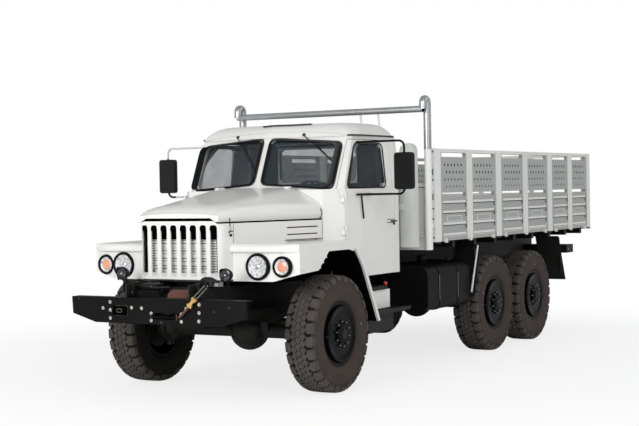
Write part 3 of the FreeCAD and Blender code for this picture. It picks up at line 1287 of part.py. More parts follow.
def gateHoles(span, middle):
    """The two long slots of each bay of a drop side."""
    low, high = span
    half = d.postWidth / 2
    bays = ((low + 40, middle - half - 15), (middle + half + 15, high - 40))
    bands = ((d.slotHighLow, d.railBandHigh), (d.slotLowLow, d.slotLowHigh))
    return bays, [[(a, z0), (b, z0), (b, z1), (a, z1)] for a, b in bays for z0, z1 in bands]


def makeSideGate(label, span):
    low, high = span
    middle = (low + high) / 2
    inner = floorHalf + d.gateGap
    outer = inner + d.gateThick
    bays, holes = gateHoles(span, middle)
    panel = prism(label + "_panel", "XZ", (inner, outer),
                  [(low, d.gateLow), (high, d.gateLow), (high, d.sideTop), (low, d.sideTop)], *holes)
    post = box(label + "_post", (middle - d.postWidth / 2, middle + d.postWidth / 2), (inner, d.bedHalf),
               (d.gateLow, d.sideTop))
    cap = box(label + "_cap", (low, high), (inner - 4, outer + 4), (d.railBandHigh + 4, d.sideTop))
    ribs = []
    for i, z in enumerate(ribHeights):
        for j, (a, b) in enumerate(bays):
            ribs.append(box(f"{label}_rib_{i}{j}", (a + 20, b - 10), (outer - 2, outer + d.ribDepth - 2),
                            (z - d.ribHeight / 2, z + d.ribHeight / 2)))
    hinges = []
    for j, x in enumerate(hingePlaces(span)):
        start = x + d.hingeLength + d.runGap
        barrel = rod(f"{label}_barrel_{j}", "X", (start, axisY, axisZ), d.hingeLength, d.hingeRadius)
        arm = box(f"{label}_arm_{j}", (start, start + d.hingeLength), (outer - 15, axisY + 4),
                  (axisZ + 2, d.gateLow + 30))
        hinges += [barrel, arm]
    return fuse(label + "_body", panel, post, cap, *ribs, *hinges)


def makeGates():
    for k, span in enumerate(gateSpans):
        place_ = ("front", "middle", "rear")[k]
        left = makeSideGate(f"gate_{place_}", span)
        keep(f"gate_{place_}_left", left)
        keep(f"gate_{place_}_right", mirrored(f"gate_{place_}_right_body", left))
    half = floorHalf - 12 - d.gateGap
    bays = ((-half + 40, -half / 3 - 30), (-half / 3 + 30, half / 3 - 30), (half / 3 + 30, half - 40))
    bands = ((d.slotHighLow, d.railBandHigh), (d.slotLowLow, d.slotLowHigh))
    holes = [[(a, z0), (b, z0), (b, z1), (a, z1)] for a, b in bays for z0, z1 in bands]
    panel = prism("tail_panel", "YZ", (tailFace, tailInner),
                  [(-half, d.gateLow), (half, d.gateLow), (half, d.sideTop), (-half, d.sideTop)], *holes)
    ribs = [box(f"tail_rib_{i}{j}", (tailFace - 8, tailFace + 2), (a + 20, b - 20),
                (z - d.ribHeight / 2, z + d.ribHeight / 2))
            for i, z in enumerate(ribHeights) for j, (a, b) in enumerate(bays)]
    hinges = []
    for j, y in enumerate((-900, -d.hingeLength, 900 - 2 * d.hingeLength)):
        start = y + d.hingeLength + d.runGap
        hinges.append(rod(f"tail_turn_{j}", "Y", (tailX, start, axisZ), d.hingeLength, d.hingeRadius))
        hinges.append(box(f"tail_leaf_{j}", (tailX - 4, tailFace + 15), (start, start + d.hingeLength),
                          (axisZ + 2, d.gateLow + 30)))
    keep("tailgate", fuse("tailgate_body", panel, *ribs, *hinges))


def makeHeadboard():
    front = bedFront
    half = floorHalf - d.gateGap
    panel = box("head_panel", (front - d.headThick, front), (-half, half), (d.floorLow, d.headTop))
    rail = box("head_rail", (front - d.headThick - 8, front + 8), (-half, half),
               (d.headTop - d.headRail, d.headTop))
    x = front + d.hoopRadius
    y = d.hoopHalf
    high = d.hoopTop - d.hoopRadius
    hoop = tube("hoop", "XZ", y, [(x, d.floorLow - d.bearerHeight), (x, high, d.hoopBend),
                                  (x + d.hoopReach, high, d.hoopBend), (x + d.hoopReach, d.crossbarHeight)],
                d.hoopRadius, "Z")
    brackets = [box(f"hoop_bracket_{i}", (front - 10, x), (y - 30, y + 30), (z, z + 60))
                for i, z in enumerate((1480, 1890))]
    arms = both("hoop", fuse("hoop_side", hoop, *brackets))
    bar = rod("crossbar", "Y", (x + d.hoopReach, -y, d.crossbarHeight), 2 * y, d.crossbarRadius)
    stays = [strut(f"hoop_stay_{i}", (x + d.hoopReach - 10, at, d.crossbarHeight),
                   (front + 4, at, d.headTop - 10), 12)
             for i, at in enumerate((413, 631))]
    keep("headboard", fuse("headboard_body", panel, rail, *arms, bar, *stays))


# Boxes hung from the frame
def makeTank():
    x0, x1 = fromAxle(-d.tankRear), fromAxle(-d.tankFront)
    y0, y1 = d.tankInner, d.tankOuter
    z0, z1 = d.tankLow, d.tankHigh

    def outline(grow):
        r = d.tankCorner
        return [(y0 - grow, z0 - grow, 60 + size(grow)), (y1 + grow, z0 - grow, 80 + size(grow)),
                (y1 + grow, z1 + grow, r + grow), (y0 - grow, z1 + grow, 60 + size(grow))]

    shell = prism("tank_shell", "YZ", (x0, x1), outline(0))
    extras = []
    for i, share in enumerate((0.28, 0.72)):
        x = x1 + (x0 - x1) * share
        extras.append(prism(f"tank_strap_{i}", "YZ", (x - d.strapWidth / 2, x + d.strapWidth / 2),
                            outline(d.strapThick)))
        extras.append(box(f"tank_arm_{i}", (x - 30, x + 30), (d.frameWidth / 2, y0 + 40),
                          (d.railBottom + 40, d.railBottom + 140)))
    for i in range(4):
        y = y0 + 90 + d.tankRibPitch * i
        extras.append(box(f"tank_rib_{i}", (x1 - 2, x1 + d.tankRibDepth), (y, y + d.tankRibWidth),
                          (z0 + 70, z1 - 70)))
    cap = rod("tank_cap", "Z", (x1 - 480, y0 + 240, z1 - 5), 45, 45)
    keep("fuel_tank", fuse("fuel_tank_body", shell, *extras, cap))


def makeSteps():
    x0, x1 = fromAxle(-d.stepRear), fromAxle(-d.stepFront)
    y0, y1 = d.stepInner, d.stepOuter
    plate = box("step_plate", (x0, x1), (y0, y1), (d.stepLow - 30, d.stepLow))
    lower = box("step_box", (x0 + 210, x1), (y0 - 60, y1 - 90), (d.boxLow + 40, d.stepLow - 30))
    upper = box("step_bar", (x1 - 420, x1), (y1 - 120, y1 - 90), (d.stepHigh - 30, d.stepHigh))
    arms = [box(f"step_arm_{i}", (x - 25, x + 25), (d.frameWidth / 2, y1 - 90),
                (d.stepHigh - 30, d.stepHigh)) for i, x in enumerate((x1 - 40, x1 - 395))]
    legs = [box(f"step_leg_{i}", (x - 25, x + 25), (y0, y0 + 30), (d.stepLow - 30, d.stepHigh))
            for i, x in enumerate((x1 - 40, x1 - 395))]
    left = fuse("step_left", plate, lower, upper, *arms, *legs)
    keep("cab_steps", group("cab_steps_pair", *both("step_left", left)))


def makeRightSide():
    """Battery box and silencer on the side away from the tank."""
    x0, x1 = fromAxle(-2650), fromAxle(-1950)
    case = box("battery_case", (x0, x1), (-1090, -640), (660, 1060))
    arms = [box(f"battery_arm_{i}", (x - 30, x + 30), (-660, -d.frameWidth / 2), (860, 940))
            for i, x in enumerate((x0 + 120, x1 - 120))]
    keep("battery_box", fuse("battery_box_body", case, *arms))
    x = fromAxle(-1150)
    drum = rod("silencer", "X", (x - d.silencerLength, -580, 700), d.silencerLength, d.silencerRadius)
    pipe = tube("exhaust_pipe", "XZ", -580, [(x - d.silencerLength + 5, 700), (x - d.silencerLength - 500, 700)],
                d.pipeRadius, "X")
    hanger = box("silencer_hanger", (x - 430, x - 370), (-600, -d.frameWidth / 2), (800, 860))
    keep("exhaust", fuse("exhaust_body", drum, pipe, hanger))


def makeIntake():
    """Upright air duct with a round top behind the cab."""
    x = fromAxle(-1750)
    duct = prism("intake_duct", "YZ", (x - 45, x + 45),
                 [(960, 1300), (1130, 1300), (1130, 2400, 84), (960, 2400, 84)])
    bracket = box("intake_bracket", (x + 45, fromAxle(d.cabRear)), (900, 1000), (1700, 1760))
    link = box("intake_link", (x - 20, x + 20), (880, 980), (1700, 1760))
    keep("air_intake", fuse("air_intake_body", duct, bracket, link))


# Rear mudguards, flaps and the lamp bar
def makeRear():
    top = d.floorLow - d.bearerHeight
    solids = []
    for name, x0, x1 in (("front_flap", -3250, -3062), ("rear_flap", -5760, -6000)):
        a, b = fromAxle(x0), fromAxle(x1)
        flap = prism(name, "XZ", (d.guardInner, d.guardOuter),
                     [(a, top), (a - d.guardThick, top), (b - d.guardThick, d.flapLow), (b, d.flapLow)])
        middle = (a + b) / 2
        arm = box(name + "_arm", (middle - 25, middle + 25), (d.frameWidth / 2, d.guardInner + 30),
                  (d.flapArm, d.flapArm + 40))
        solids += both(name, fuse(name + "_body", flap, arm))
    keep("mudflaps", group("mudflaps_set", *solids))
    x = fromAxle(-d.rearBarX)
    z = d.rearBarHeight
    bar = box("rear_bar", (x - 250, x), (-1030, 1030), (z - 55, z + 55))
    gap = box("rear_bar_gap", (x - 260, x + 10), (-d.frameWidth / 2, d.frameWidth / 2), (z - 60, z + 60))
    keep("rear_lamp_bars", cut("rear_bar_ends", bar, gap))


def writeParts():
    """Check every object, then write each piece to its own file."""
    failed = [item.Name for item in doc.Objects if "Invalid" in item.State or "Error" in item.State]
    failed += [item.Label for item in nodes
               if item.Shape.isNull() or not item.Shape.isValid() or not item.Shape.Solids]
    if failed:
        raise RuntimeError("These pieces are not sound: " + ", ".join(failed))
    os.makedirs("parts", exist_ok=True)
    for item in nodes:
        item.Shape.exportStep(f"parts/{item.Label}.step")
        print(f"{item.Label}: {len(item.Shape.Solids)} solids, {item.Shape.Volume / 1e6:.2f} litres")


makeWheels()
makeAxles()
makeKnuckles()
makeTieRod()
makeFrame()
makeSprings()
makePowerUnit()
makeRadiator()
makeBumper()
makeWinch()
makeNose()
makeBonnet()
makeWings()
makeLamps()
makeCab()
makeDoors()
makeMirrors()
makeCabin()
makeFloor()
makePosts()
makeGates()
makeHeadboard()
makeTank()
makeSteps()
makeRightSide()
makeIntake()
makeRear()
doc.recompute()
writeParts()
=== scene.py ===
import math
import bpy
import bmesh
import numpy as np
from mathutils import Matrix, Vector
from mathutils.bvhtree import BVHTree


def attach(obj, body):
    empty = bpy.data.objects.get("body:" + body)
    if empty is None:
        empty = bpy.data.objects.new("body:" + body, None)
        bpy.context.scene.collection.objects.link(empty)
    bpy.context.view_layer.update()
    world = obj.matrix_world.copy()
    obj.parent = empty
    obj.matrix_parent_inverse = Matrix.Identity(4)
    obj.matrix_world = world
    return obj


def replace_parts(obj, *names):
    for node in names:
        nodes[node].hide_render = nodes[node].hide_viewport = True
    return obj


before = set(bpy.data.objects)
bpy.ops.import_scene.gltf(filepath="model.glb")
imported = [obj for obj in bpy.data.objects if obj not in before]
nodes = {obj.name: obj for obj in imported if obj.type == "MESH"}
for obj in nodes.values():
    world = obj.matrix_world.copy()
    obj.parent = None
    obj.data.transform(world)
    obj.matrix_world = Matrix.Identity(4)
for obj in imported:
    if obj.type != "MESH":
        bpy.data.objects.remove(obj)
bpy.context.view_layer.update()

print("frame: the packed truck is in")


# Camera, fitted to the photograph's wheels, bumper and bed
cameraSettings = {
    "place": (14.1613, 7.6273, 1.9411),
    "yaw": 3.6720,
    "pitch": -0.0179,
    "roll": -0.0182,
    "focal": 1382.8,      # in pixels of the 639 wide picture
    "pictureWidth": 639,
    "sensor": 36.0,
}


def newObject(name, data):
    made = bpy.data.objects.new(name, data)
    bpy.context.scene.collection.objects.link(made)
    return made


def makeCamera(settings):
    # forward = (cos yaw cos pitch, sin yaw cos pitch, sin pitch), then right and up turned by roll
    yaw, pitch, roll = settings["yaw"], settings["pitch"], settings["roll"]
    forward = Vector((math.cos(yaw) * math.cos(pitch), math.sin(yaw) * math.cos(pitch), math.sin(pitch)))
    right = Vector((math.sin(yaw), -math.cos(yaw), 0.0))
    up = right.cross(forward)
    turnedRight = math.cos(roll) * right + math.sin(roll) * up
    turnedUp = -math.sin(roll) * right + math.cos(roll) * up
    data = bpy.data.cameras.new("photoCamera")
    data.sensor_width = settings["sensor"]
    data.lens = settings["focal"] * settings["sensor"] / settings["pictureWidth"]
    data.clip_end = 200.0
    camera = newObject("photoCamera", data)
    turn = Matrix((turnedRight, turnedUp, -forward)).transposed().to_4x4()
    camera.matrix_world = Matrix.Translation(settings["place"]) @ turn
    bpy.context.scene.camera = camera


makeCamera(cameraSettings)
print("camera: at the photograph's place")


# Shader groups: each gives colours, masks or heights only
def newGroup(name, inputs, outputs):
    group = bpy.data.node_groups.new(name, "ShaderNodeTree")
    for label, kind, value in inputs:
        socket = group.interface.new_socket(name=label, in_out="INPUT", socket_type=kind)
        if value is not None:
            socket.default_value = value
    for label, kind in outputs:
        group.interface.new_socket(name=label, in_out="OUTPUT", socket_type=kind)
    return group, group.nodes.new("NodeGroupInput"), group.nodes.new("NodeGroupOutput")


def addNode(tree, kind, inputs=None, **settings):
    # inputs maps a socket's name or number to a value or to another node's output
    node = tree.nodes.new(kind)
    for key, value in settings.items():
        setattr(node, key, value)
    for key, value in (inputs or {}).items():
        if isinstance(value, bpy.types.NodeSocket):
            tree.links.new(value, node.inputs[key])
        else:
            node.inputs[key].default_value = value
    return node


def addMath(tree, operation, *values, **settings):
    return addNode(tree, "ShaderNodeMath", dict(enumerate(values)), operation=operation,
                   **settings).outputs[0]


def addNoise(tree, place, scale, detail, roughness=0.5):
    return addNode(tree, "ShaderNodeTexNoise", {"Vector": place, "Scale": scale, "Detail": detail,
                   "Roughness": roughness}).outputs["Fac"]


def addRange(tree, value, low, high, toLow=0.0, toHigh=1.0, **settings):
    # what lies from low to high comes to lie from toLow to toHigh
    return addNode(tree, "ShaderNodeMapRange", {"Value": value, "From Min": low, "From Max": high,
                   "To Min": toLow, "To Max": toHigh}, **settings).outputs["Result"]


def addMix(tree, share, first, second):
    return addNode(tree, "ShaderNodeMix", {"Factor": share, 6: first, 7: second}, data_type="RGBA").outputs[2]


def makeToneGroup():
    # colour drifts from Base towards Shade with broad noise
    group, into, out = newGroup("toneDrift", [
        ("Vector", "NodeSocketVector", None), ("Base", "NodeSocketColor", (0.8, 0.8, 0.8, 1)),
        ("Shade", "NodeSocketColor", (0.6, 0.6, 0.6, 1)), ("Scale", "NodeSocketFloat", 2.0),
        ("Amount", "NodeSocketFloat", 0.5)], [("Color", "NodeSocketColor")])
    given = into.outputs
    level = addRange(group, addNoise(group, given["Vector"], given["Scale"], 5.0, 0.6), 0.42, 0.72)
    share = addMath(group, "MULTIPLY", level, given["Amount"])
    group.links.new(addMix(group, share, given["Base"], given["Shade"]), out.inputs["Color"])
    return group


def makeDustGroup():
    # dust lies low: mask = amount * noise * (1 - height / Height), clamped
    group, into, out = newGroup("roadDust", [
        ("Vector", "NodeSocketVector", None), ("Color", "NodeSocketColor", (0.8, 0.8, 0.8, 1)),
        ("Dust", "NodeSocketColor", (0.3, 0.25, 0.2, 1)), ("Height", "NodeSocketFloat", 1.0),
        ("Amount", "NodeSocketFloat", 0.5), ("Scale", "NodeSocketFloat", 6.0)],
        [("Color", "NodeSocketColor"), ("Mask", "NodeSocketFloat")])
    given = into.outputs
    height = addNode(group, "ShaderNodeSeparateXYZ", {"Vector": given["Vector"]}).outputs["Z"]
    low = addRange(group, height, 0.0, given["Height"], 1.0, 0.0)
    level = addRange(group, addNoise(group, given["Vector"], given["Scale"], 8.0, 0.68), 0.4, 0.75)
    spots = addMath(group, "MULTIPLY", low, level)
    mask = addMath(group, "MULTIPLY", spots, given["Amount"], use_clamp=True)
    group.links.new(addMix(group, mask, given["Color"], given["Dust"]), out.inputs["Color"])
    group.links.new(mask, out.inputs["Mask"])
    return group


def makeGrainGroup():
    # height = fine noise plus a little broad waviness, as sprayed paint or cast metal has
    group, into, out = newGroup("surfaceGrain", [
        ("Vector", "NodeSocketVector", None), ("Fine", "NodeSocketFloat", 400.0),
        ("Broad", "NodeSocketFloat", 3.0), ("Wave", "NodeSocketFloat", 0.3)],
        [("Height", "NodeSocketFloat")])
    given = into.outputs
    fine = addNoise(group, given["Vector"], given["Fine"], 2.0)
    wave = addMath(group, "MULTIPLY", addNoise(group, given["Vector"], given["Broad"], 2.0), given["Wave"])
    group.links.new(addMath(group, "ADD", fine, wave), out.inputs["Height"])
    return group


def makeSplitGroup():
    # mask of the places nearer to the mid plane than Near, higher than Above or lower than Below
    group, into, out = newGroup("splitMask", [
        ("Vector", "NodeSocketVector", None), ("Near", "NodeSocketFloat", -1.0),
        ("Above", "NodeSocketFloat", 9.0), ("Below", "NodeSocketFloat", -1.0)], [("Mask", "NodeSocketFloat")])
    parts = addNode(group, "ShaderNodeSeparateXYZ", {"Vector": into.outputs["Vector"]}).outputs
    tests = [(addMath(group, "ABSOLUTE", parts["Y"]), "Near", "LESS_THAN"),
             (parts["Z"], "Above", "GREATER_THAN"), (parts["Z"], "Below", "LESS_THAN")]
    marks = [addMath(group, operation, value, into.outputs[label]) for value, label, operation in tests]
    whole = addMath(group, "MAXIMUM", addMath(group, "MAXIMUM", marks[0], marks[1]), marks[2])
    group.links.new(whole, out.inputs["Mask"])
    return group


toneGroup = makeToneGroup()
dustGroup = makeDustGroup()
grainGroup = makeGrainGroup()
splitGroup = makeSplitGroup()

# What a finish has where it names nothing else
finishDefaults = {
    "base": (0.8, 0.8, 0.8), "shade": (0.7, 0.7, 0.7), "toneScale": 1.6, "toneAmount": 0.5,
    "dust": (0.30, 0.26, 0.21), "dustHeight": 1.2, "dustAmount": 0.0, "dustScale": 5.0,
    "roughness": 0.4, "metallic": 0.0, "coat": 0.0, "coatRoughness": 0.1, "specular": 0.5,
    "fine": 350.0, "broad": 3.0, "wave": 0.3, "bump": 0.05, "depth": 0.001,
    "dustRoughness": 0.35,    # how much rougher dust makes a surface
    # the finish has the colour other past the limits in split, which names sockets of the split group
    "split": None, "other": (0.01, 0.01, 0.01),
}


def newMaterial(name):
    made = bpy.data.materials.new(name)
    made.use_nodes = True
    return made, made.node_tree, made.node_tree.nodes["Principled BSDF"]


def makeFinish(name, **changes):
    # one Principled surface fed by the tone, dust and grain groups on Object coordinates
    settings = {**finishDefaults, **changes}
    made, tree, shader = newMaterial(name)
    place = addNode(tree, "ShaderNodeTexCoord").outputs["Object"]
    tone = addNode(tree, "ShaderNodeGroup", {"Vector": place, "Base": (*settings["base"], 1),
                   "Shade": (*settings["shade"], 1), "Scale": settings["toneScale"],
                   "Amount": settings["toneAmount"]}, node_tree=toneGroup)
    dust = addNode(tree, "ShaderNodeGroup", {"Vector": place, "Color": tone.outputs["Color"],
                   "Dust": (*settings["dust"], 1), "Height": settings["dustHeight"],
                   "Amount": settings["dustAmount"], "Scale": settings["dustScale"]}, node_tree=dustGroup)
    colour = dust.outputs["Color"]
    if settings["split"]:
        split = addNode(tree, "ShaderNodeGroup", {"Vector": place, **settings["split"]}, node_tree=splitGroup)
        colour = addMix(tree, split.outputs["Mask"], colour, (*settings["other"], 1))
    roughest = min(1.0, settings["roughness"] + settings["dustRoughness"])
    rough = addRange(tree, dust.outputs["Mask"], 0.0, 1.0, settings["roughness"], roughest)
    grain = addNode(tree, "ShaderNodeGroup", {"Vector": place, "Fine": settings["fine"],
                    "Broad": settings["broad"], "Wave": settings["wave"]}, node_tree=grainGroup)
    bump = addNode(tree, "ShaderNodeBump", {"Height": grain.outputs["Height"], "Strength": settings["bump"],
                   "Distance": settings["depth"]})
    for label, output in (("Base Color", colour), ("Roughness", rough), ("Normal", bump.outputs["Normal"])):
        tree.links.new(output, shader.inputs[label])
    for label, key in (("Metallic", "metallic"), ("Coat Weight", "coat"), ("Coat Roughness", "coatRoughness"),
                       ("Specular IOR Level", "specular")):
        shader.inputs[label].default_value = settings[key]
    return made


def makeGlass(name, colour, roughness=0.02, alpha=0.25):
    # thin glass: mostly see-through, with the tint and the gloss of its surface
    made, tree, shader = newMaterial(name)
    place = addNode(tree, "ShaderNodeTexCoord").outputs["Object"]
    veil = addRange(tree, addNoise(tree, place, 5.0, 4.0), 0.3, 0.8, alpha * 0.85, alpha * 1.2)
    tree.links.new(veil, shader.inputs["Alpha"])
    shader.inputs["Base Color"].default_value = (*colour, 1)
    shader.inputs["Roughness"].default_value = roughness
    shader.inputs["IOR"].default_value = 1.5
    return made


cabGloss = {"base": (0.79, 0.79, 0.765), "shade": (0.72, 0.73, 0.71), "toneScale": 0.9, "roughness": 0.32,
            "coat": 0.35, "coatRoughness": 0.08, "bump": 0.04}
bedWear = {"shade": (0.68, 0.69, 0.68), "toneScale": 1.4, "toneAmount": 0.6, "roughness": 0.42,
           "dustAmount": 0.3, "dust": (0.5, 0.47, 0.42), "dustHeight": 2.6, "bump": 0.06}
roadBlack = {"base": (0.006, 0.006, 0.0065), "shade": (0.012, 0.0115, 0.011), "toneScale": 4.0,
             "roughness": 0.5, "specular": 0.3, "dustAmount": 0.4, "dust": (0.032, 0.028, 0.024),
             "dustHeight": 1.3, "bump": 0.2, "fine": 120.0}
bodyPaint = makeFinish("bodyPaint", dustAmount=0.22, dust=(0.55, 0.52, 0.46), dustHeight=2.0, **cabGloss)
# below 1.117 m the nose is near black: painted shade under the nose
nosePaint = makeFinish("nosePaint", split={"Below": 1.117}, other=(0.012, 0.012, 0.013), **cabGloss)
bedPaint = makeFinish("bedPaint", base=(0.80, 0.805, 0.795), **bedWear)
# the recessed panels between the posts are darker: grey paint plus painted shade of the recess
gatePaint = makeFinish("gatePaint", base=(0.78, 0.78, 0.76), split={"Near": 1.2095},
                       other=(0.385, 0.39, 0.39), **bedWear)
frameBlack = makeFinish("frameBlack", **roadBlack)
deckPaint = makeFinish("deckPaint", split={"Above": 1.412}, other=(0.50, 0.50, 0.485), **roadBlack)
armPaint = makeFinish("armPaint", base=(0.008, 0.008, 0.009), shade=(0.014, 0.014, 0.014), roughness=0.4,
                      specular=0.25, split={"Near": 1.34, "Above": 2.29}, other=(0.62, 0.62, 0.61))
greyPaint = makeFinish("greyPaint", base=(0.60, 0.61, 0.60), shade=(0.50, 0.51, 0.51), roughness=0.45,
                       dustAmount=0.2, dustHeight=2.5)
hoopMetal = makeFinish("hoopMetal", base=(0.50, 0.52, 0.53), shade=(0.36, 0.38, 0.39), toneScale=5.0,
                       toneAmount=0.6, roughness=0.34, metallic=0.9, bump=0.05)
blackPaint = makeFinish("blackPaint", base=(0.0035, 0.0035, 0.004),
                        shade=(0.008, 0.008, 0.0085), toneScale=3.0, roughness=0.46, specular=0.10,
                        dustAmount=0.12, dust=(0.022, 0.020, 0.018), dustHeight=1.5, bump=0.06)
wheelPaint = makeFinish("wheelPaint", base=(0.0015, 0.0015, 0.0018),
                        shade=(0.004, 0.004, 0.0045), toneScale=6.0, roughness=0.24, specular=0.08,
                        dustAmount=0.06, dust=(0.03, 0.024, 0.020), dustHeight=1.4, dustScale=9.0)
castBlack = makeFinish("castBlack", base=(0.006, 0.006, 0.006), shade=(0.013, 0.012, 0.011), roughness=0.55,
                       specular=0.3, dustAmount=0.5, dust=(0.035, 0.030, 0.025), dustHeight=1.2,
                       bump=0.4, fine=90.0)
treadRubber = makeFinish("treadRubber", base=(0.068, 0.060, 0.053),
                         shade=(0.034, 0.031, 0.029), toneScale=9.0, toneAmount=0.7, roughness=0.75,
                         dustAmount=0.55, dust=(0.10, 0.082, 0.068), dustHeight=1.8, dustScale=14.0,
                         specular=0.3, bump=0.35, fine=160.0)
# the sidewall's inner half, nearer the middle than 1.030 m, is near black: painted shade under the truck
sideRubber = makeFinish("sideRubber", base=(0.046, 0.032, 0.027), shade=(0.026, 0.021, 0.019), toneScale=5.0,
                        toneAmount=0.6, roughness=0.66, dustAmount=0.6, dust=(0.085, 0.060, 0.050),
                        dustHeight=1.9, dustScale=8.0, specular=0.25, bump=0.15, fine=220.0,
                        split={"Near": 1.030}, other=(0.009, 0.0075, 0.007))
grooveRubber = makeFinish("grooveRubber", base=(0.009, 0.008, 0.008), shade=(0.018, 0.016, 0.015),
                          roughness=0.85, specular=0.15)
flapRubber = makeFinish("flapRubber", base=(0.007, 0.007, 0.007), shade=(0.014, 0.013, 0.012), roughness=0.7,
                        specular=0.25, dustAmount=0.4, dust=(0.032, 0.028, 0.025), dustHeight=1.4)
sealRubber = makeFinish("sealRubber", base=(0.012, 0.012, 0.013), shade=(0.02, 0.02, 0.02), roughness=0.5,
                        bump=0.1)
dashPlastic = makeFinish("dashPlastic", base=(0.05, 0.055, 0.06), shade=(0.07, 0.075, 0.08), roughness=0.6,
                         bump=0.3, fine=500.0)
seatCloth = makeFinish("seatCloth", base=(0.012, 0.017, 0.032), shade=(0.02, 0.026, 0.045), roughness=0.45,
                       coat=0.25, bump=0.4, fine=700.0)
liningGrey = makeFinish("liningGrey", base=(0.36, 0.38, 0.39), shade=(0.30, 0.32, 0.33), roughness=0.7)
coreMetal = makeFinish("coreMetal", base=(0.78, 0.78, 0.77), shade=(0.62, 0.62, 0.62), toneScale=20.0,
                       roughness=0.5, metallic=0.1)
brightSteel = makeFinish("brightSteel", base=(0.62, 0.62, 0.60), shade=(0.42, 0.41, 0.39), toneScale=25.0,
                         roughness=0.3, metallic=0.9)
chromeFinish = makeFinish("chromeFinish", base=(0.86, 0.86, 0.87), shade=(0.78, 0.78, 0.8), roughness=0.08,
                          metallic=1.0, bump=0.0)
# light and dark noise in the reflector's colour: painted reflections of a faceted chrome bowl
paintedReflectionBowl = makeFinish("paintedReflectionBowl", base=(0.80, 0.81, 0.82), shade=(0.10, 0.105, 0.11), toneScale=50.0,
                        toneAmount=1.0, roughness=0.42, metallic=0.3, specular=0.3, bump=0.9,
                        fine=48.0, depth=0.004)
# near black: painted shade inside the cab
paintedShadeLining = makeFinish("paintedShadeLining", base=(0.012, 0.014, 0.0145),
                        shade=(0.008, 0.009, 0.0095), roughness=0.8, specular=0.15)
# black for painted shade in openings, gaps, slots and wheel spaces
paintedShadeBlack = makeFinish("paintedShadeBlack", base=(0.0012, 0.0012, 0.0013),
                       shade=(0.0020, 0.0020, 0.0020), roughness=1.0, specular=0.02)
dullSteel = makeFinish("dullSteel", base=(0.085, 0.085, 0.080), shade=(0.035, 0.035, 0.033), toneScale=25.0,
                       roughness=0.4, metallic=0.5, bump=0.2)
innerGlass = makeFinish("innerGlass", base=(0.030, 0.033, 0.036), shade=(0.010, 0.011, 0.012), toneScale=30.0,
                        roughness=0.08, specular=0.6, coat=0.6)
ropeFibre = makeFinish("ropeFibre", base=(0.135, 0.056, 0.042), shade=(0.060, 0.030, 0.026), toneScale=40.0,
                       roughness=0.8, bump=0.6, fine=300.0)
hookGold = makeFinish("hookGold", base=(0.75, 0.50, 0.17), shade=(0.55, 0.36, 0.13), toneScale=20.0,
                      roughness=0.35, metallic=0.85)
redLens = makeFinish("redLens", base=(0.55, 0.02, 0.015), shade=(0.4, 0.01, 0.01), roughness=0.15, coat=0.6)
amberLens = makeFinish("amberLens", base=(0.85, 0.33, 0.16), shade=(0.75, 0.25, 0.1), roughness=0.2, coat=0.6)
exhaustSteel = makeFinish("exhaustSteel", base=(0.07, 0.055, 0.045), shade=(0.13, 0.07, 0.045), toneScale=6.0,
                          roughness=0.7, metallic=0.4, bump=0.3)
screenGlass = makeGlass("screenGlass", (0.06, 0.08, 0.095), alpha=0.27)
lampGlass = makeGlass("lampGlass", (0.75, 0.78, 0.8), roughness=0.04, alpha=0.10)
print("finishes: made")


def sixOf(word):
    # the names of the six wheels' or side gates' nodes
    return [f"{word}_{row}_{side}" for row in ("front", "middle", "rear") for side in ("left", "right")]


# Every CAD node gets its own finish; some are replaced further down
nodeFinishes = {
    bodyPaint: ["cab_shell", "door_left", "door_right", "bonnet", "front_wings"],
    nosePaint: ["nose_shell"],
    bedPaint: ["bed_posts", "tailgate", "headboard"],
    gatePaint: sixOf("gate"),
    armPaint: ["mirror_right"],
    frameBlack: ["chassis_frame", "leaf_springs", "cab_steps", "rear_lamp_bars", "tie_rod"],
    deckPaint: ["bed_floor"],
    blackPaint: ["front_bumper", "winch", "fuel_tank", "battery_box", "mirror_left"],
    wheelPaint: sixOf("rim"),
    castBlack: ["front_axle", "bogie_axles", "knuckle_left", "knuckle_right", "engine_block", "driveline",
                "rear_shaft"],
    sideRubber: sixOf("tyre"),
    flapRubber: ["mudflaps"],
    dashPlastic: ["dashboard", "steering_wheel"],
    seatCloth: ["seat_cushion", "seat_back"],
    liningGrey: ["seat_base"],
    greyPaint: ["air_intake"],
    coreMetal: ["radiator"],
    chromeFinish: ["lamps"],
    exhaustSteel: ["exhaust"],
    screenGlass: ["cab_glass", "door_glass_left", "door_glass_right"],
}
for finish, names in nodeFinishes.items():
    for nodeName in names:
        slots = nodes[nodeName].data.materials
        slots.clear()
        slots.append(finish)
print("frame: every node has its finish")


# Surface tools: a part is (points, faces), and a piece joins several parts
def gridFaces(rows, columns, wrapRows=False, wrapColumns=False):
    r = np.arange(rows if wrapRows else rows - 1)[:, None]
    c = np.arange(columns if wrapColumns else columns - 1)[None, :]
    nextR, nextC = (r + 1) % rows, (c + 1) % columns
    quads = np.stack([r * columns + c, r * columns + nextC, nextR * columns + nextC, nextR * columns + c],
                     axis=-1)
    return quads.reshape(-1, 4).tolist()


def gridPart(points, wrapRows=False, wrapColumns=False, caps=False):
    # points[row, column] is a surface; caps close the first and last row
    rows, columns = points.shape[:2]
    faces = gridFaces(rows, columns, wrapRows, wrapColumns)
    if caps:
        faces.append(list(range(columns))[::-1])
        faces.append(list(range((rows - 1) * columns, rows * columns)))
    return points.reshape(-1, 3), faces


def copies(part, places):
    # the same part at many places: points + place, faces shifted
    points, faces = part
    places = np.asarray(places, float)
    every = (points[None, :, :] + places[:, None, :]).reshape(-1, 3)
    count = len(points)
    many = [[v + i * count for v in face] for i in range(len(places)) for face in faces]
    return every, many


def turned(part, axis, angle):
    # rotation about an axis through the origin by angle, in radians
    turn = np.array(Matrix.Rotation(angle, 3, axis))
    return part[0] @ turn.T, part[1]


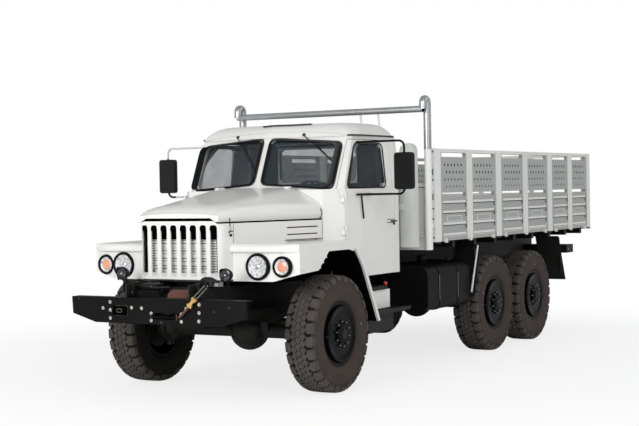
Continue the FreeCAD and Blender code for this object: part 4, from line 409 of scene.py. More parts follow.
def moved(part, shift):
    return part[0] + np.asarray(shift, float), part[1]


def flipped(part):
    # mirror image across the truck, with the faces turned to point outwards again
    return part[0] * (1, -1, 1), [face[::-1] for face in part[1]]


def bothSides(parts):
    return parts + [flipped(part) for part in parts]


def unit(rows):
    # each row at length 1
    return rows / np.linalg.norm(rows, axis=1, keepdims=True)


def runLengths(path):
    # how far along the path each of its points is
    return np.r_[0, np.cumsum(np.linalg.norm(np.diff(path, axis=0), axis=1))]


def lathe(profile, centre, axis="Y", count=48, closed=False):
    # profile rows are (along, radius): point = centre + along * axis + radius * (cos t, sin t)
    profile = np.asarray(profile, float)
    t = np.linspace(0, 2 * np.pi, count, endpoint=False)
    along = np.repeat(profile[:, :1], count, axis=1)
    a, b = profile[:, 1:] * np.cos(t), profile[:, 1:] * np.sin(t)
    order = {"X": (along, a, b), "Y": (b, along, a), "Z": (a, b, along)}[axis]
    points = np.stack(order, axis=-1) + np.asarray(centre, float)
    return gridPart(points, wrapRows=closed, wrapColumns=True)


def rod(centre, half, radius, axis, count=16):
    # a closed round bar, half its length to each side of the centre
    return lathe([(-half, 0), (-half, radius), (half, radius), (half, 0)], centre, axis, count)


def slab(outline, plane, low, high):
    # a flat outline (a, b) carried from low to high along the plane's normal
    outline = np.asarray(outline, float)
    rows = []
    for level in (low, high):
        third = np.full(len(outline), level)
        order = {"XY": (outline[:, 0], outline[:, 1], third), "XZ": (outline[:, 0], third, outline[:, 1]),
                 "YZ": (third, outline[:, 0], outline[:, 1])}[plane]
        rows.append(np.stack(order, axis=-1))
    return gridPart(np.array(rows), wrapColumns=True, caps=True)


def block(x, y, z):
    return slab([(x[0], y[0]), (x[1], y[0]), (x[1], y[1]), (x[0], y[1])], "XY", z[0], z[1])


def rounded(points, radius, steps=6, closed=False):
    # replaces each corner by a curve: (1-t)^2 a + 2 t (1-t) corner + t^2 b
    points = np.asarray(points, float)
    here = points if closed else points[1:-1]
    before = np.roll(points, 1, axis=0) if closed else points[:-2]
    after = np.roll(points, -1, axis=0) if closed else points[2:]
    back, ahead = before - here, after - here
    lengthBack = np.linalg.norm(back, axis=1, keepdims=True)
    lengthAhead = np.linalg.norm(ahead, axis=1, keepdims=True)
    reach = np.minimum(radius, 0.49 * np.minimum(lengthBack, lengthAhead))
    a, b = here + back / lengthBack * reach, here + ahead / lengthAhead * reach
    t = np.linspace(0, 1, steps)[None, :, None]
    curve = (1 - t) ** 2 * a[:, None] + 2 * t * (1 - t) * here[:, None] + t ** 2 * b[:, None]
    curve = curve.reshape(-1, points.shape[1])
    return curve if closed else np.vstack([points[:1], curve, points[-1:]])


def carried(path, section, normal, closed=False, caps=True):
    # section (a, b) swept along path: point = path + a * side + b * normal, side = normal x tangent
    path = np.asarray(path, float)
    section = np.asarray(section, float)
    if closed:
        tangent = np.roll(path, -1, axis=0) - np.roll(path, 1, axis=0)
    else:
        tangent = np.gradient(path, axis=0)
    tangent = unit(tangent)
    side = unit(np.cross(np.broadcast_to(np.asarray(normal, float), path.shape), tangent))
    up = np.cross(tangent, side)
    points = path[:, None] + section[None, :, :1] * side[:, None] + section[None, :, 1:] * up[:, None]
    return gridPart(points, wrapRows=closed, wrapColumns=True, caps=caps and not closed)


def ring(radius, count=10, squash=1.0):
    t = np.linspace(0, 2 * np.pi, count, endpoint=False)
    return np.stack([radius * np.cos(t), radius * squash * np.sin(t)], axis=-1)


def pipe(path, radius, normal=(0, 1, 0), bend=0.0, sides=12, closed=False):
    if bend:
        path = rounded(path, bend, closed=closed)
    return carried(path, ring(radius, sides), normal, closed)


def studs(places, axis, radius, height, sides=6):
    # bolt heads: a low prism with a chamfered top at each place
    head = [(0, radius), (height * 0.7, radius), (height, radius * 0.78), (height, 0.0)]
    return copies(lathe(head, (0, 0, 0), axis, sides), places)


def makePiece(name, parts, finish, body, smooth=38, bevel=0.0, solid=0.0, merge=True, tidy=True):
    # one object from all the parts, riding on the body; smooth is the angle past which an edge stays sharp
    points, faces, count = [], [], 0
    for partPoints, partFaces in parts:
        points.append(partPoints)
        faces += [[v + count for v in face] for face in partFaces]
        count += len(partPoints)
    mesh = bpy.data.meshes.new(name)
    mesh.from_pydata(np.vstack(points).tolist(), [], faces)
    work = bmesh.new()
    work.from_mesh(mesh)
    if merge:
        bmesh.ops.remove_doubles(work, verts=work.verts, dist=0.00008)
        bmesh.ops.dissolve_degenerate(work, edges=work.edges, dist=0.00004)
    if tidy:
        bmesh.ops.recalc_face_normals(work, faces=work.faces)
    work.to_mesh(mesh)
    work.free()
    piece = newObject(name, mesh)
    mesh.materials.append(finish)
    if solid:
        thick = piece.modifiers.new("wall", "SOLIDIFY")
        thick.thickness, thick.offset = solid, -1
    if bevel:
        soft = piece.modifiers.new("edges", "BEVEL")
        soft.width, soft.segments, soft.limit_method, soft.angle_limit = bevel, 2, "ANGLE", math.radians(35)
    mesh.shade_smooth()
    mesh.set_sharp_from_angle(angle=math.radians(smooth))
    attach(piece, body)
    return piece


# Many places along the truck are given from the front axle, forward positive
frontAxle = 2.805

# Tyres: carcass, house-shaped shoulder blocks and staggered squares between them
tyreSettings = {
    "pitches": 28, "radius": 0.5595, "crown": 0.28, "sunk": 0.530, "grooveBase": 0.5405,
    "squareHalf": 0.0262, "squareTurn": 0.62, "squareRows": (-0.050, 0.0, 0.050),
    "shoulderHalf": 0.40,            # half of a shoulder block's length, in pitches
    "shoulderEnds": (0.492, 0.508),  # radii at which a long and a short block end on the side wall
    "grooveHalf": 0.1290, "grooveCrown": 0.27,
    # (across, radius) from bead to tread, mirrored for the other side
    "side": [(0.1175, 0.2905), (0.1175, 0.3112), (0.1315, 0.3122), (0.1335, 0.3170), (0.1390, 0.3200),
             (0.1400, 0.3245), (0.1470, 0.3330), (0.1500, 0.3500), (0.1548, 0.3750), (0.1580, 0.4050),
             (0.1588, 0.4400), (0.1572, 0.4680), (0.1580, 0.4710), (0.1575, 0.4780), (0.1540, 0.4810),
             (0.1500, 0.5000), (0.1420, 0.5200), (0.1300, 0.5360)],
}


def tyreTop(across):
    # crown: radius falls with the square of the distance from the middle
    return tyreSettings["radius"] - tyreSettings["crown"] * across ** 2


def treadBlock(outline):
    # a flat outline (round, across) raised from below the groove to the crown, with a small chamfer
    outline = np.asarray(outline, float)
    middle = outline.mean(axis=0)
    rows = []
    for share, drop in ((1.06, None), (1.0, 0.003), (0.90, 0.0)):
        shape = middle + (outline - middle) * share
        radius = np.full(len(shape), tyreSettings["sunk"]) if drop is None else tyreTop(shape[:, 1]) - drop
        rows.append(np.stack([shape[:, 0] / tyreSettings["radius"], shape[:, 1], radius], axis=-1))
    points, faces = gridPart(np.array(rows), wrapColumns=True)
    faces.append(list(range(2 * len(outline), 3 * len(outline))))
    return points, faces


def shoulderBlock(pitch, long):
    # a strip over the shoulder: its section runs from the tread's edge down the side wall
    half = tyreSettings["shoulderHalf"] * pitch
    low = tyreSettings["shoulderEnds"][0 if long else 1]
    outer = np.array([(0.076, tyreTop(0.076)), (0.118, tyreTop(0.118)), (0.1345, tyreTop(0.1345) - 0.003),
                      (0.1475, 0.541), (0.1535, 0.522), (0.1568, low)])
    inner = np.array([(0.146, low), (0.128, 0.520), (0.076, 0.530)])
    section = np.vstack([outer, inner])
    columns = np.array([-1.0, -0.90, 0.0, 0.90, 1.0]) * half
    drops = np.array([0.003, 0.0, 0.0, 0.0, 0.003])
    start = np.array([0.022, 0.018, 0.0, 0.018, 0.022])
    points = np.zeros((len(columns), len(section), 3))
    points[:, :, 0] = columns[:, None] / tyreSettings["radius"]
    points[:, :, 1] = section[None, :, 0]
    points[:, 0, 1] += start
    points[:, -1, 1] += start
    points[:, :, 2] = section[None, :, 1]
    points[:, :len(outer), 2] -= drops[:, None]
    return gridPart(points, wrapColumns=True, caps=True)


def wrapTyre(part, turn):
    # (angle, across, radius) to a wheel about Y at the origin
    points = part[0]
    angle = points[:, 0] + turn
    return np.stack([points[:, 2] * np.cos(angle), points[:, 1], points[:, 2] * np.sin(angle)],
                    axis=-1), part[1]


def makeTyreParts():
    count = tyreSettings["pitches"]
    step = 2 * np.pi / count
    pitch = step * tyreSettings["radius"]
    half = tyreSettings["squareHalf"]
    turn = tyreSettings["squareTurn"]
    corners = np.array([(-1, -1), (1, -1), (1, 1), (-1, 1)]) * half
    spin = np.array([(math.cos(turn), -math.sin(turn)), (math.sin(turn), math.cos(turn))])
    squares = []
    for row, across in enumerate(tyreSettings["squareRows"]):
        for extra in (0.0, 0.5):
            outline = corners @ spin.T + np.array([(extra + 0.25 * row) * pitch, across])
            squares.append(treadBlock(outline))
    tread = [wrapTyre(part, i * step) for part in squares for i in range(count)]
    # long and short shoulder blocks take turns round the tyre
    for mirror, offset in ((1, 0.15), (-1, 0.65)):
        for first, long in ((0, True), (1, False)):
            points, faces = shoulderBlock(pitch, long)
            points = points * (0.98, mirror, 1) + (offset * step, 0, 0)
            tread += [wrapTyre((points, faces), i * step) for i in range(first, count, 2)]
    side = tyreSettings["side"]
    across = np.linspace(-tyreSettings["grooveHalf"], tyreSettings["grooveHalf"], 9)
    crown = [(a, tyreSettings["grooveBase"] - tyreSettings["grooveCrown"] * a * a) for a in across]
    profile = [(-a, r) for a, r in side] + [(a, r - 0.004) for a, r in crown] + side[::-1]
    carcass = lathe(profile, (0, 0, 0), "Y", 96, closed=True)
    return tread, carcass, lathe(crown, (0, 0, 0), "Y", 96)


# forward and outwards
wheelPlaces = {f"{row}_{side}": (x, y)
               for row, x in (("front", frontAxle), ("middle", -0.875), ("rear", -2.105))
               for side, y in (("left", 1.035), ("right", -1.035))}
axleHeight = 0.56
treadParts, carcassPart, groovePart = makeTyreParts()
for label, (x, y) in wheelPlaces.items():
    place = (x, y, axleHeight)
    spinAngle = 0.37 * (x + y)    # no two wheels stand alike
    makePiece(f"tread_{label}", [moved(turned(part, "Y", spinAngle), place) for part in treadParts],
              treadRubber, f"wheel_{label}", smooth=28, merge=False)
    carcass = makePiece(f"carcass_{label}", [moved(carcassPart, place)], sideRubber,
                        f"wheel_{label}", smooth=50)
    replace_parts(carcass, f"tyre_{label}")
    makePiece(f"groove_{label}", [moved(groovePart, place)], grooveRubber, f"wheel_{label}", smooth=50)
print("tyres: six with tread")


def castTree(*names):
    # the named CAD meshes joined in one search tree
    points, faces = [], []
    for name in names:
        mesh = nodes[name].data
        start = len(points)
        points += [nodes[name].matrix_world @ v.co for v in mesh.vertices]
        faces += [[v + start for v in face.vertices] for face in mesh.polygons]
    return BVHTree.FromPolygons(points, faces)


def castOn(tree, starts, way, lift=0.0):
    # where rays from the starts first meet the mesh, raised by lift against their way
    way = Vector(way).normalized()
    found = []
    for start in starts:
        spot = tree.ray_cast(Vector(start), way)[0]
        if spot is not None:
            found.append(spot - way * lift)
    return np.array([tuple(spot) for spot in found])


def spaced(points, step, closed=False):
    # the same line with points at an even distance
    points = np.asarray(points, float)
    if closed:
        points = np.vstack([points, points[:1]])
    runs = runLengths(points)
    count = max(int(runs[-1] / step), 3)
    at = np.linspace(0, runs[-1], count, endpoint=not closed)
    return np.stack([np.interp(at, runs, points[:, i]) for i in range(points.shape[1])], axis=-1)


def smoothLine(x, spots):
    # cubic between the spots with slopes that never overshoot (harmonic mean of both sides)
    spots = np.asarray(sorted(spots), float)
    sx, sy = spots[:, 0], spots[:, 1]
    rise = np.diff(sy) / np.diff(sx)
    slope = np.r_[rise[0], np.where(rise[1:] * rise[:-1] > 0, 2 * rise[1:] * rise[:-1]
                  / (rise[1:] + rise[:-1] + 1e-12), 0), rise[-1]]
    i = np.clip(np.searchsorted(sx, x) - 1, 0, len(sx) - 2)
    h = sx[i + 1] - sx[i]
    t = (x - sx[i]) / h
    return ((2 * t ** 3 - 3 * t ** 2 + 1) * sy[i] + (t ** 3 - 2 * t ** 2 + t) * h * slope[i]
            + (3 * t ** 2 - 2 * t ** 3) * sy[i + 1] + (t ** 3 - t ** 2) * h * slope[i + 1])


# Bonnet: pressed lid with a flat crown, rounded shoulders and a rolled nose
bonnetSettings = {
    # (forward, height)
    "crown": [(-0.344, 1.950), (0.148, 1.886), (0.566, 1.826), (0.80, 1.790), (0.90, 1.759), (0.95, 1.724)],
    "shoulder": [(-0.344, 1.780), (0.148, 1.786), (0.566, 1.779), (0.80, 1.757), (0.90, 1.734),
                 (0.95, 1.708)],
    "half": [(-0.344, 0.800), (0.955, 0.455)],
    "ends": (-0.344, 0.945),
    "seam": 1.648,
    "flat": 0.62,            # share of the half width that the flat crown has
    "bend": (0.070, 0.050),  # how far the shoulder's bend reaches, rear and front
    "roll": 0.014,           # radius of the nose's edge
    "wall": 0.004,
    # the lip rises by lipRise between these distances from the middle
    "lipHalf": 0.425, "lipFade": 0.035, "lipRise": 0.034,
    "earOut": 0.425,
}


def makeBonnet(settings):
    x = np.linspace(*settings["ends"], 64)
    crown = smoothLine(x, settings["crown"])
    shoulder = smoothLine(x, settings["shoulder"])
    half = np.interp(x, *np.array(settings["half"]).T)
    rows = []
    for at, top, side, wide in zip(x, crown, shoulder, half):
        bend = np.interp(at, (-0.344, 0.95), settings["bend"])
        line = [(wide, settings["seam"]), (wide, side), (wide * settings["flat"], top), (0.0, top + 0.006)]
        first, second = rounded(line[:3], bend, 7), rounded(line[1:], 0.10, 9)
        middle = (first[-1] + second[0]) / 2
        quarter = np.vstack([first[:-1], [middle], second[1:]])
        line = np.vstack([quarter, quarter[-2::-1] * (-1, 1)])
        rows.append(np.column_stack([np.full(len(line), frontAxle + at), line]))
    # the nose rolls over a quarter circle and ends in a lip down to the seam
    last, roll = rows[-1], settings["roll"]
    for angle in np.linspace(15, 90, 6):
        turn = math.radians(angle)
        row = last.copy()
        row[:, 0] += roll * math.sin(turn)
        share = np.clip((last[:, 2] - settings["seam"]) / 0.05, 0, 1)
        row[:, 2] -= roll * (1 - math.cos(turn)) * share
        row[:, 1] *= 1 - 0.010 * (1 - math.cos(turn))
        rows.append(row)
    # the lip rises in the middle, over the slots
    rise = np.clip((settings["lipHalf"] - np.abs(rows[-1][:, 1])) / settings["lipFade"], 0, 1)
    low = settings["seam"] + 0.003 + settings["lipRise"] * rise ** 2 * (3 - 2 * rise)
    lip = rows[-1].copy()
    lip[:, 2] = np.minimum(lip[:, 2], low)
    rows.append(lip)
    inward = lip.copy()
    inward[:, 0] -= roll
    rows.append(inward)
    lid = gridPart(np.array(rows))
    ears = []
    for y in (-settings["earOut"], settings["earOut"]):
        ears.append(block((frontAxle - 0.342, frontAxle - 0.302), (y - 0.022, y + 0.022), (1.944, 1.959)))
        ears.append(rod((frontAxle - 0.340, y, 1.958), 0.022, 0.006, "Y"))
    piece = makePiece("bonnetLid", [lid], bodyPaint, "bonnet", smooth=42, solid=settings["wall"],
                      tidy=False)
    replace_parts(piece, "bonnet")
    makePiece("bonnetHinges", ears, bodyPaint, "bonnet")


# Dark gap between lid and nose, drawn as a strip and a block of painted shade, and a slot up the lid's rear
# corner
seamSettings = {
    "height": 1.640,
    # (forward, outwards) round the nose
    "line": [(-0.34, 0.786), (0.936, 0.445), (0.936, -0.445), (-0.34, -0.786)],
    # (forward, height) of the slot
    "slot": [(-0.300, 1.646), (-0.322, 1.660), (-0.330, 1.70), (-0.318, 1.742)],
}


def makeSeam(settings):
    line = rounded(settings["line"], 0.10, 8)
    seam = np.column_stack([frontAxle + line[:, 0], line[:, 1], np.full(len(line), settings["height"])])
    parts = [carried(seam, [(-0.010, -0.008), (0.006, -0.008), (0.006, 0.008), (-0.010, 0.008)], (0, 0, 1)),
             block((frontAxle + 0.915, frontAxle + 0.934), (-0.412, 0.412), (1.630, 1.690))]
    makePiece("bonnetSeal", parts, paintedShadeBlack, "chassis", smooth=40)
    slots = []
    for side in (1, -1):
        hook = [(frontAxle + a, side * (np.interp(a, *np.array(bonnetSettings["half"]).T) + 0.0012), z)
                for a, z in rounded(settings["slot"], 0.02, 5)]
        slots.append(pipe(hook, 0.0042, normal=(0, side, 0), sides=8))
    makePiece("bonnetSlots", slots, sealRubber, "bonnet")


makeBonnet(bonnetSettings)
makeSeam(seamSettings)
print("bonnet: lid, seal and slots")


# Rubber frames round the glass, laid on the panels by rays, and dark liners over the cut edges
glassSettings = {
    "half": 0.011, "rise": 0.006, "step": 0.02,
    # section of the rubber in shares of half and rise
    "section": [(-1.0, -0.9), (1.0, -0.9), (1.05, 0.2), (0.6, 1.0), (-0.6, 1.0), (-1.05, 0.2)],
    "inside": -0.0015,      # how far a liner's outline is grown over the opening's
    # (across, height) of the windscreen's half and the rear glass, (forward, height) of the door's
    "screen": [(0.050, 1.998), (0.822, 1.942), (0.822, 2.392), (0.050, 2.446)],
    "rear": [(-0.48, 2.01), (0.48, 2.01), (0.48, 2.37), (-0.48, 2.37)],
    "door": [(-0.615, 1.945), (-0.815, 2.385), (-1.365, 2.385), (-1.365, 1.945)],
    "handle": (-1.413, 1.589),
}
cabTree = castTree("cab_shell")


def glassOutline(points, radius, grow):
    # the opening's outline, widened by grow about its middle
    points = np.asarray(points, float)
    middle = (points.min(axis=0) + points.max(axis=0)) / 2
    wide = (points.max(axis=0) - points.min(axis=0)) / 2
    points = middle + (points - middle) * (1 + grow / wide)
    return spaced(rounded(points, radius, 7, closed=True), glassSettings["step"], closed=True)


def openingLiner(outline, shift):
    # a thin dark sheet over the cut edge of an opening, from the outer face inwards
    return gridPart(np.array([outline, outline + np.asarray(shift, float)]), wrapColumns=True)


def doorHandle(x, side, z):
    # plate, bent grip and lock
    return [block((x - 0.078, x + 0.078), sorted((side * 1.000, side * 1.006)), (z - 0.017, z + 0.017)),
            pipe([(x + 0.060, side * 1.004, z), (x + 0.060, side * 1.030, z),
                  (x - 0.070, side * 1.030, z - 0.002)], 0.0075, normal=(0, 0, 1), bend=0.012, sides=10),
            lathe([(0, 0.012), (0.009, 0.012), (0.011, 0.009), (0.011, 0)],
                  (x - 0.055, side * 1.003, z - 0.03), "Y", 16)]


def makeGlassFrames(settings):
    section = np.array(settings["section"]) * (settings["half"], settings["rise"])
    frames, liners = [], []
    for side in (1, -1):
        line = glassOutline(settings["screen"], 0.06, 0.010)
        hits = castOn(cabTree, [(5.0, side * y, z) for y, z in line], (-1, 0, 0), 0.002)
        frames.append(carried(hits, section, (0.93, 0, 0.36), closed=True))
        # the screen leans back, and a little more towards its sides
        edge = [(np.interp(z, (1.93, 2.46), (2.43, 2.19)) - 0.052 * y, side * y, z)
                for y, z in glassOutline(settings["screen"], 0.06, settings["inside"])]
        liners.append(openingLiner(np.array(edge) + (0.03, 0, 0), (-0.12, 0, 0)))
    edge = [(1.140, y, z) for y, z in glassOutline(settings["rear"], 0.06, settings["inside"])]
    liners.append(openingLiner(np.array(edge), (0.050, 0, 0)))
    line = glassOutline(settings["rear"], 0.06, 0.010)
    hits = castOn(cabTree, [(0.95, y, z) for y, z in line], (1, 0, 0), 0.002)
    frames.append(carried(hits, section, (-1, 0, 0), closed=True))
    makePiece("screenLiners", liners, sealRubber, "chassis", smooth=60)
    makePiece("cabGaskets", frames, sealRubber, "chassis", smooth=50)
    for side, word in ((1, "left"), (-1, "right")):
        line = glassOutline(settings["door"], 0.07, 0.008)
        starts = [(frontAxle + x, side * 1.5, z) for x, z in line]
        hits = castOn(castTree(f"door_{word}"), starts, (0, -side, 0), 0.001)
        edge = [(frontAxle + x, side * np.interp(z, (1.93, 2.42), (0.966, 0.905)), z)
                for x, z in glassOutline(settings["door"], 0.07, settings["inside"])]
        makePiece(f"doorLiner_{word}", [openingLiner(np.array(edge), (0, -side * 0.085, 0))], sealRubber,
                  f"door_{word}", smooth=60)
        makePiece(f"doorGasket_{word}", [carried(hits, section * (0.8, 0.7), (0, side, 0.1), closed=True)],
                  sealRubber, f"door_{word}", smooth=50)
        x, z = settings["handle"]
        makePiece(f"doorHandle_{word}", doorHandle(frontAxle + x, side, z), blackPaint, f"door_{word}",
                  smooth=40, bevel=0.0015)


makeGlassFrames(glassSettings)
print("glass: rubber frames, handles")


# Gutters over the doors, the seam and the marker strip on the roof, and the wipers
trimSettings = {
    "gutter": (-1.600, -0.745),      # its ends, from the axle
    "gutterHeight": 2.468,
    # (across, height) of the seam over the windscreen
    "brow": [(-0.880, 2.440), (-0.792, 2.474), (-0.591, 2.492), (-0.350, 2.507), (-0.111, 2.516),
             (0.139, 2.519), (0.377, 2.516), (0.619, 2.502), (0.815, 2.481), (0.885, 2.452)],
    # (forward, across) of the strip
    "strip": [(2.022, -0.141), (2.020, 0.014), (2.000, 0.163), (1.976, 0.267), (1.950, 0.392)],
    # (across, height) of each wiper's pivot and tip
    "wipers": [((0.402, 2.486), (0.774, 2.197)), ((-0.402, 2.486), (-0.099, 2.148))],
}


def makeCabTrim(settings):
    gutters, height = [], settings["gutterHeight"]
    for side in (1, -1):
        starts = [(frontAxle + x, side * 1.5, height) for x in np.linspace(*settings["gutter"], 24)]
        hits = castOn(cabTree, starts, (0, -side, 0), 0.004)
        gutters.append(carried(hits, [(-0.008, -0.007), (0.012, -0.007), (0.012, 0.007), (0.003, 0.010),
                                      (-0.008, 0.010)], (0, 0, 1)))
    makePiece("cabGutters", gutters, sealRubber, "chassis", smooth=40)
    brow = spaced(rounded(settings["brow"], 0.15, 4), 0.03)
    hits = castOn(cabTree, [(5.0, y, z) for y, z in brow], (-1, 0, 0), 0.001)
    makePiece("roofSeam", [pipe(hits, 0.0035, normal=(1, 0, 0.3), sides=8)], greyPaint, "chassis", smooth=60)
    hits = castOn(cabTree, [(x, y, 4.0) for x, y in spaced(settings["strip"], 0.05)], (0, 0, -1), 0.004)
    strip = carried(hits, [(-0.03, -0.006), (0.03, -0.006), (0.026, 0.006), (-0.026, 0.006)], (0, 0, 1))
    makePiece("roofStrip", [strip], sealRubber, "chassis", smooth=40)
    glassTree = castTree("cab_glass")
    wipers = []
    for pivot, tip in settings["wipers"]:
        base = castOn(cabTree, [(5.0, *pivot)], (-1, 0, 0))[0]
        joint = base + (0.020, 0, 0.0)
        wipers.append(lathe([(-0.004, 0.016), (0.012, 0.016), (0.022, 0.011), (0.026, 0)], base, "X", 16))
        blade = [(5.0, *(np.array(pivot) * (1 - s) + np.array(tip) * s)) for s in (0.36, 0.68, 1.0)]
        onGlass = castOn(glassTree, blade, (-1, 0, 0), 0.011)
        elbow = joint * 0.6 + onGlass[0] * 0.4 + (0.012, 0, 0)
        wipers.append(pipe([joint, elbow, onGlass[1] + (0.010, 0, 0)], 0.005, bend=0.06, sides=8))
        wipers.append(pipe(onGlass, 0.0085, normal=(1, 0, 0), sides=6))
    makePiece("wipers", wipers, sealRubber, "chassis", smooth=50)


makeCabTrim(trimSettings)
print("cab: gutters and wipers")


# Lamps: bezels, bowls, lenses; they replace the plain solids
lampSettings = {
    # forward of the front axle, outwards, height, radius
    "head": (0.790, 0.770, 1.235, 0.125),
    "side": (0.755, 1.010, 1.235, 0.098),
    # (along, how much less than the lamp's radius) round the bezel
    "bezel": [(-0.020, 0.03), (-0.020, 0.0), (0.012, 0.0), (0.022, 0.004), (0.026, 0.012), (0.023, 0.021),
              (0.012, 0.024), (0.006, 0.025), (-0.018, 0.03)],
    "bulb": [(-0.030, 0.020), (-0.004, 0.052), (0.008, 0.050), (0.014, 0.030), (0.016, 0)],
    "cap": [(0.001, 0.026), (0.006, 0.024), (0.010, 0.014), (0.011, 0)],
    "clips": (45, 135, 225, 315),       # angles round the bezel
    "stalk": (1.06, 0.59, 1.172),       # the small round lamp before the grille
    "visor": 0.063,                     # its visor's radius
    "stalkBody": [(-0.088, 0), (-0.086, 0.020), (-0.070, 0.042), (-0.040, 0.056), (0.0, 0.062),
                  (0.004, 0.058), (0.0, 0.052)],
    "bracketHeight": 1.064,
}


def makeLamps(settings):
    bezels, bowls, lenses, bulbs, auxGlass, caps = [], [], [], [], [], []
    t = np.linspace(0, 1, 12)
    for kind in ("head", "side"):
        forward, out, height, r = settings[kind]
        for side in (1, -1):
            centre = (frontAxle + forward, side * out, height)
            bezel = [(a, r - less) for a, less in settings["bezel"]]
            bezels.append(lathe(bezel, centre, "X", 56, closed=True))
            # reflector: depth follows the square of the distance from the lamp's middle
            bowl = np.column_stack([0.012 - 0.010 * (1 - t ** 2), (r - 0.026) * t])
            bowls.append(lathe(bowl, centre, "X", 48))
            dome = np.column_stack([0.012 + 0.012 * (1 - t ** 2), (r - 0.0245) * t])
            lenses.append(lathe(dome[::-1], centre, "X", 48))
            if kind == "side":
                bulbs.append(lathe(settings["bulb"], centre, "X", 28))
            else:
                caps.append(lathe(settings["cap"], centre, "X", 20))
            for angle in settings["clips"]:
                a = math.radians(angle)
                y, z = centre[1] + (r - 0.016) * math.cos(a), centre[2] + (r - 0.016) * math.sin(a)
                bezels.append(block((centre[0] + 0.012, centre[0] + 0.028), (y - 0.008, y + 0.008),
                                    (z - 0.006, z + 0.006)))
    forward, out, height = settings["stalk"]
    low = settings["bracketHeight"]
    for side in (1, -1):
        # round lamp on a stalk in front of the grille, with a short visor
        centre = np.array((frontAxle + forward, side * out, height))
        bezels.append(lathe(settings["stalkBody"], centre, "X", 36))
        auxGlass.append(lathe([(-0.001, 0.053), (0.003, 0.035), (0.004, 0)], centre, "X", 32))
        caps.append(lathe([(0.004, 0.010), (0.008, 0.008), (0.009, 0)], centre, "X", 16))
        visor = []
        for angle in np.linspace(20, 160, 17):
            a = math.radians(angle)
            y, z = centre[1] + settings["visor"] * math.cos(a), centre[2] + settings["visor"] * math.sin(a)
            visor.append([(centre[0] + d, y, z) for d in (-0.01, 0.012, 0.030 * math.sin(a))])
        bezels.append(gridPart(np.array(visor)))
        bezels.append(pipe([centre + (-0.045, 0, -0.05), centre + (-0.045, 0, -0.17)], 0.012,
                           normal=(1, 0, 0)))
        bezels.append(block((centre[0] - 0.060, centre[0] - 0.030), sorted((side * 0.350, side * 0.606)),
                            (low - 0.014, low)))
        bezels.append(block((centre[0] - 0.056, centre[0] - 0.034), sorted((side * 0.58, side * 0.60)),
                            (low - 0.07, low + 0.03)))
    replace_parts(makePiece("lampBezels", bezels, blackPaint, "chassis", smooth=42), "lamps")
    makePiece("lampBowls", bowls, paintedReflectionBowl, "chassis", smooth=60, tidy=False)
    makePiece("lampCaps", caps, chromeFinish, "chassis", smooth=60)
    makePiece("lampBulbs", bulbs, amberLens, "chassis", smooth=60)
    makePiece("lampLenses", lenses, lampGlass, "chassis", smooth=60, tidy=False)
    makePiece("auxGlass", auxGlass, innerGlass, "chassis", smooth=60, tidy=False)


makeLamps(lampSettings)
print("lamps: bezels, bowls and lenses")


# Bumper: bolts, holes and the rope's opening, the holes and the opening as dark patches of painted shade
bumperSettings = {
    "face": 4.120,
    # (across, height) of the bolts and of the holes
    "bolts": [(-0.526, 0.925), (-0.525, 0.851), (-0.525, 0.776), (-0.610, 0.866), (-0.276, 0.878),
              (-0.161, 0.876), (-0.052, 0.832), (-0.054, 0.768), (0.285, 0.832), (0.283, 0.767),
              (0.339, 0.885), (0.481, 0.925), (0.479, 0.851), (0.475, 0.776)],
    "holes": [(0.639, 0.865), (-0.896, 0.948), (0.800, 0.905)],
    "rimmedHole": (0.060, 0.752),
    # across from and to, height from and to of the dark openings, patches of painted shade
    "windows": [((-0.050, 0.236), (0.780, 0.830)), ((-0.497, -0.330), (0.803, 0.892))],
    "ringPlace": (-0.418, 0.848),
}


def makeBumperTrim(settings):
    face = settings["face"]
    spots = [(face, y, z) for y, z in settings["bolts"]]
    washer = lathe([(0, 0.017), (0.002, 0.017), (0.002, 0.0)], (0, 0, 0), "X", 14)
    makePiece("bumperBolts", [studs(spots, "X", 0.0115, 0.010), copies(washer, spots)],
              brightSteel, "chassis", smooth=30)
    # the holes and the rope's openings are dark patches of painted shade on the face
    holes = [lathe([(0.0006, 0.0), (0.0006, 0.010)], (face, y, z), "X", 16) for y, z in settings["holes"]]
    holes.append(lathe([(0.004, 0), (0.004, 0.012), (0, 0.014)], (face, *settings["rimmedHole"]), "X", 16))
    makePiece("bumperHoleShades", holes, sealRubber, "chassis", tidy=False)
    windows = [block((face, face + 0.0012), across, heights) for across, heights in settings["windows"]]
    makePiece("bumperWindows", windows, paintedShadeBlack, "chassis")
    # guide roller under the rope, and the ends of its bearings
    makePiece("ropeGuides", [rod((face + 0.006, 0.093, 0.803), 0.135, 0.011, "Y", 20)], wheelPaint, "chassis",
              smooth=40)
    ends = [rod((face + 0.003, y, 0.805), 0.024, 0.007, "Z", 14) for y in (-0.046, 0.232)]
    makePiece("guideEnds", ends, exhaustSteel, "chassis", smooth=40)
    loop = rounded([(0, -0.028, -0.016), (0, 0.028, -0.016), (0, 0.028, 0.016), (0, -0.028, 0.016)], 0.02, 6,
                   closed=True)
    makePiece("hookRing", [pipe(loop + (face + 0.004, *settings["ringPlace"]), 0.005,
                                normal=(1, 0, 0), sides=8, closed=True)], dullSteel, "chassis", smooth=60)


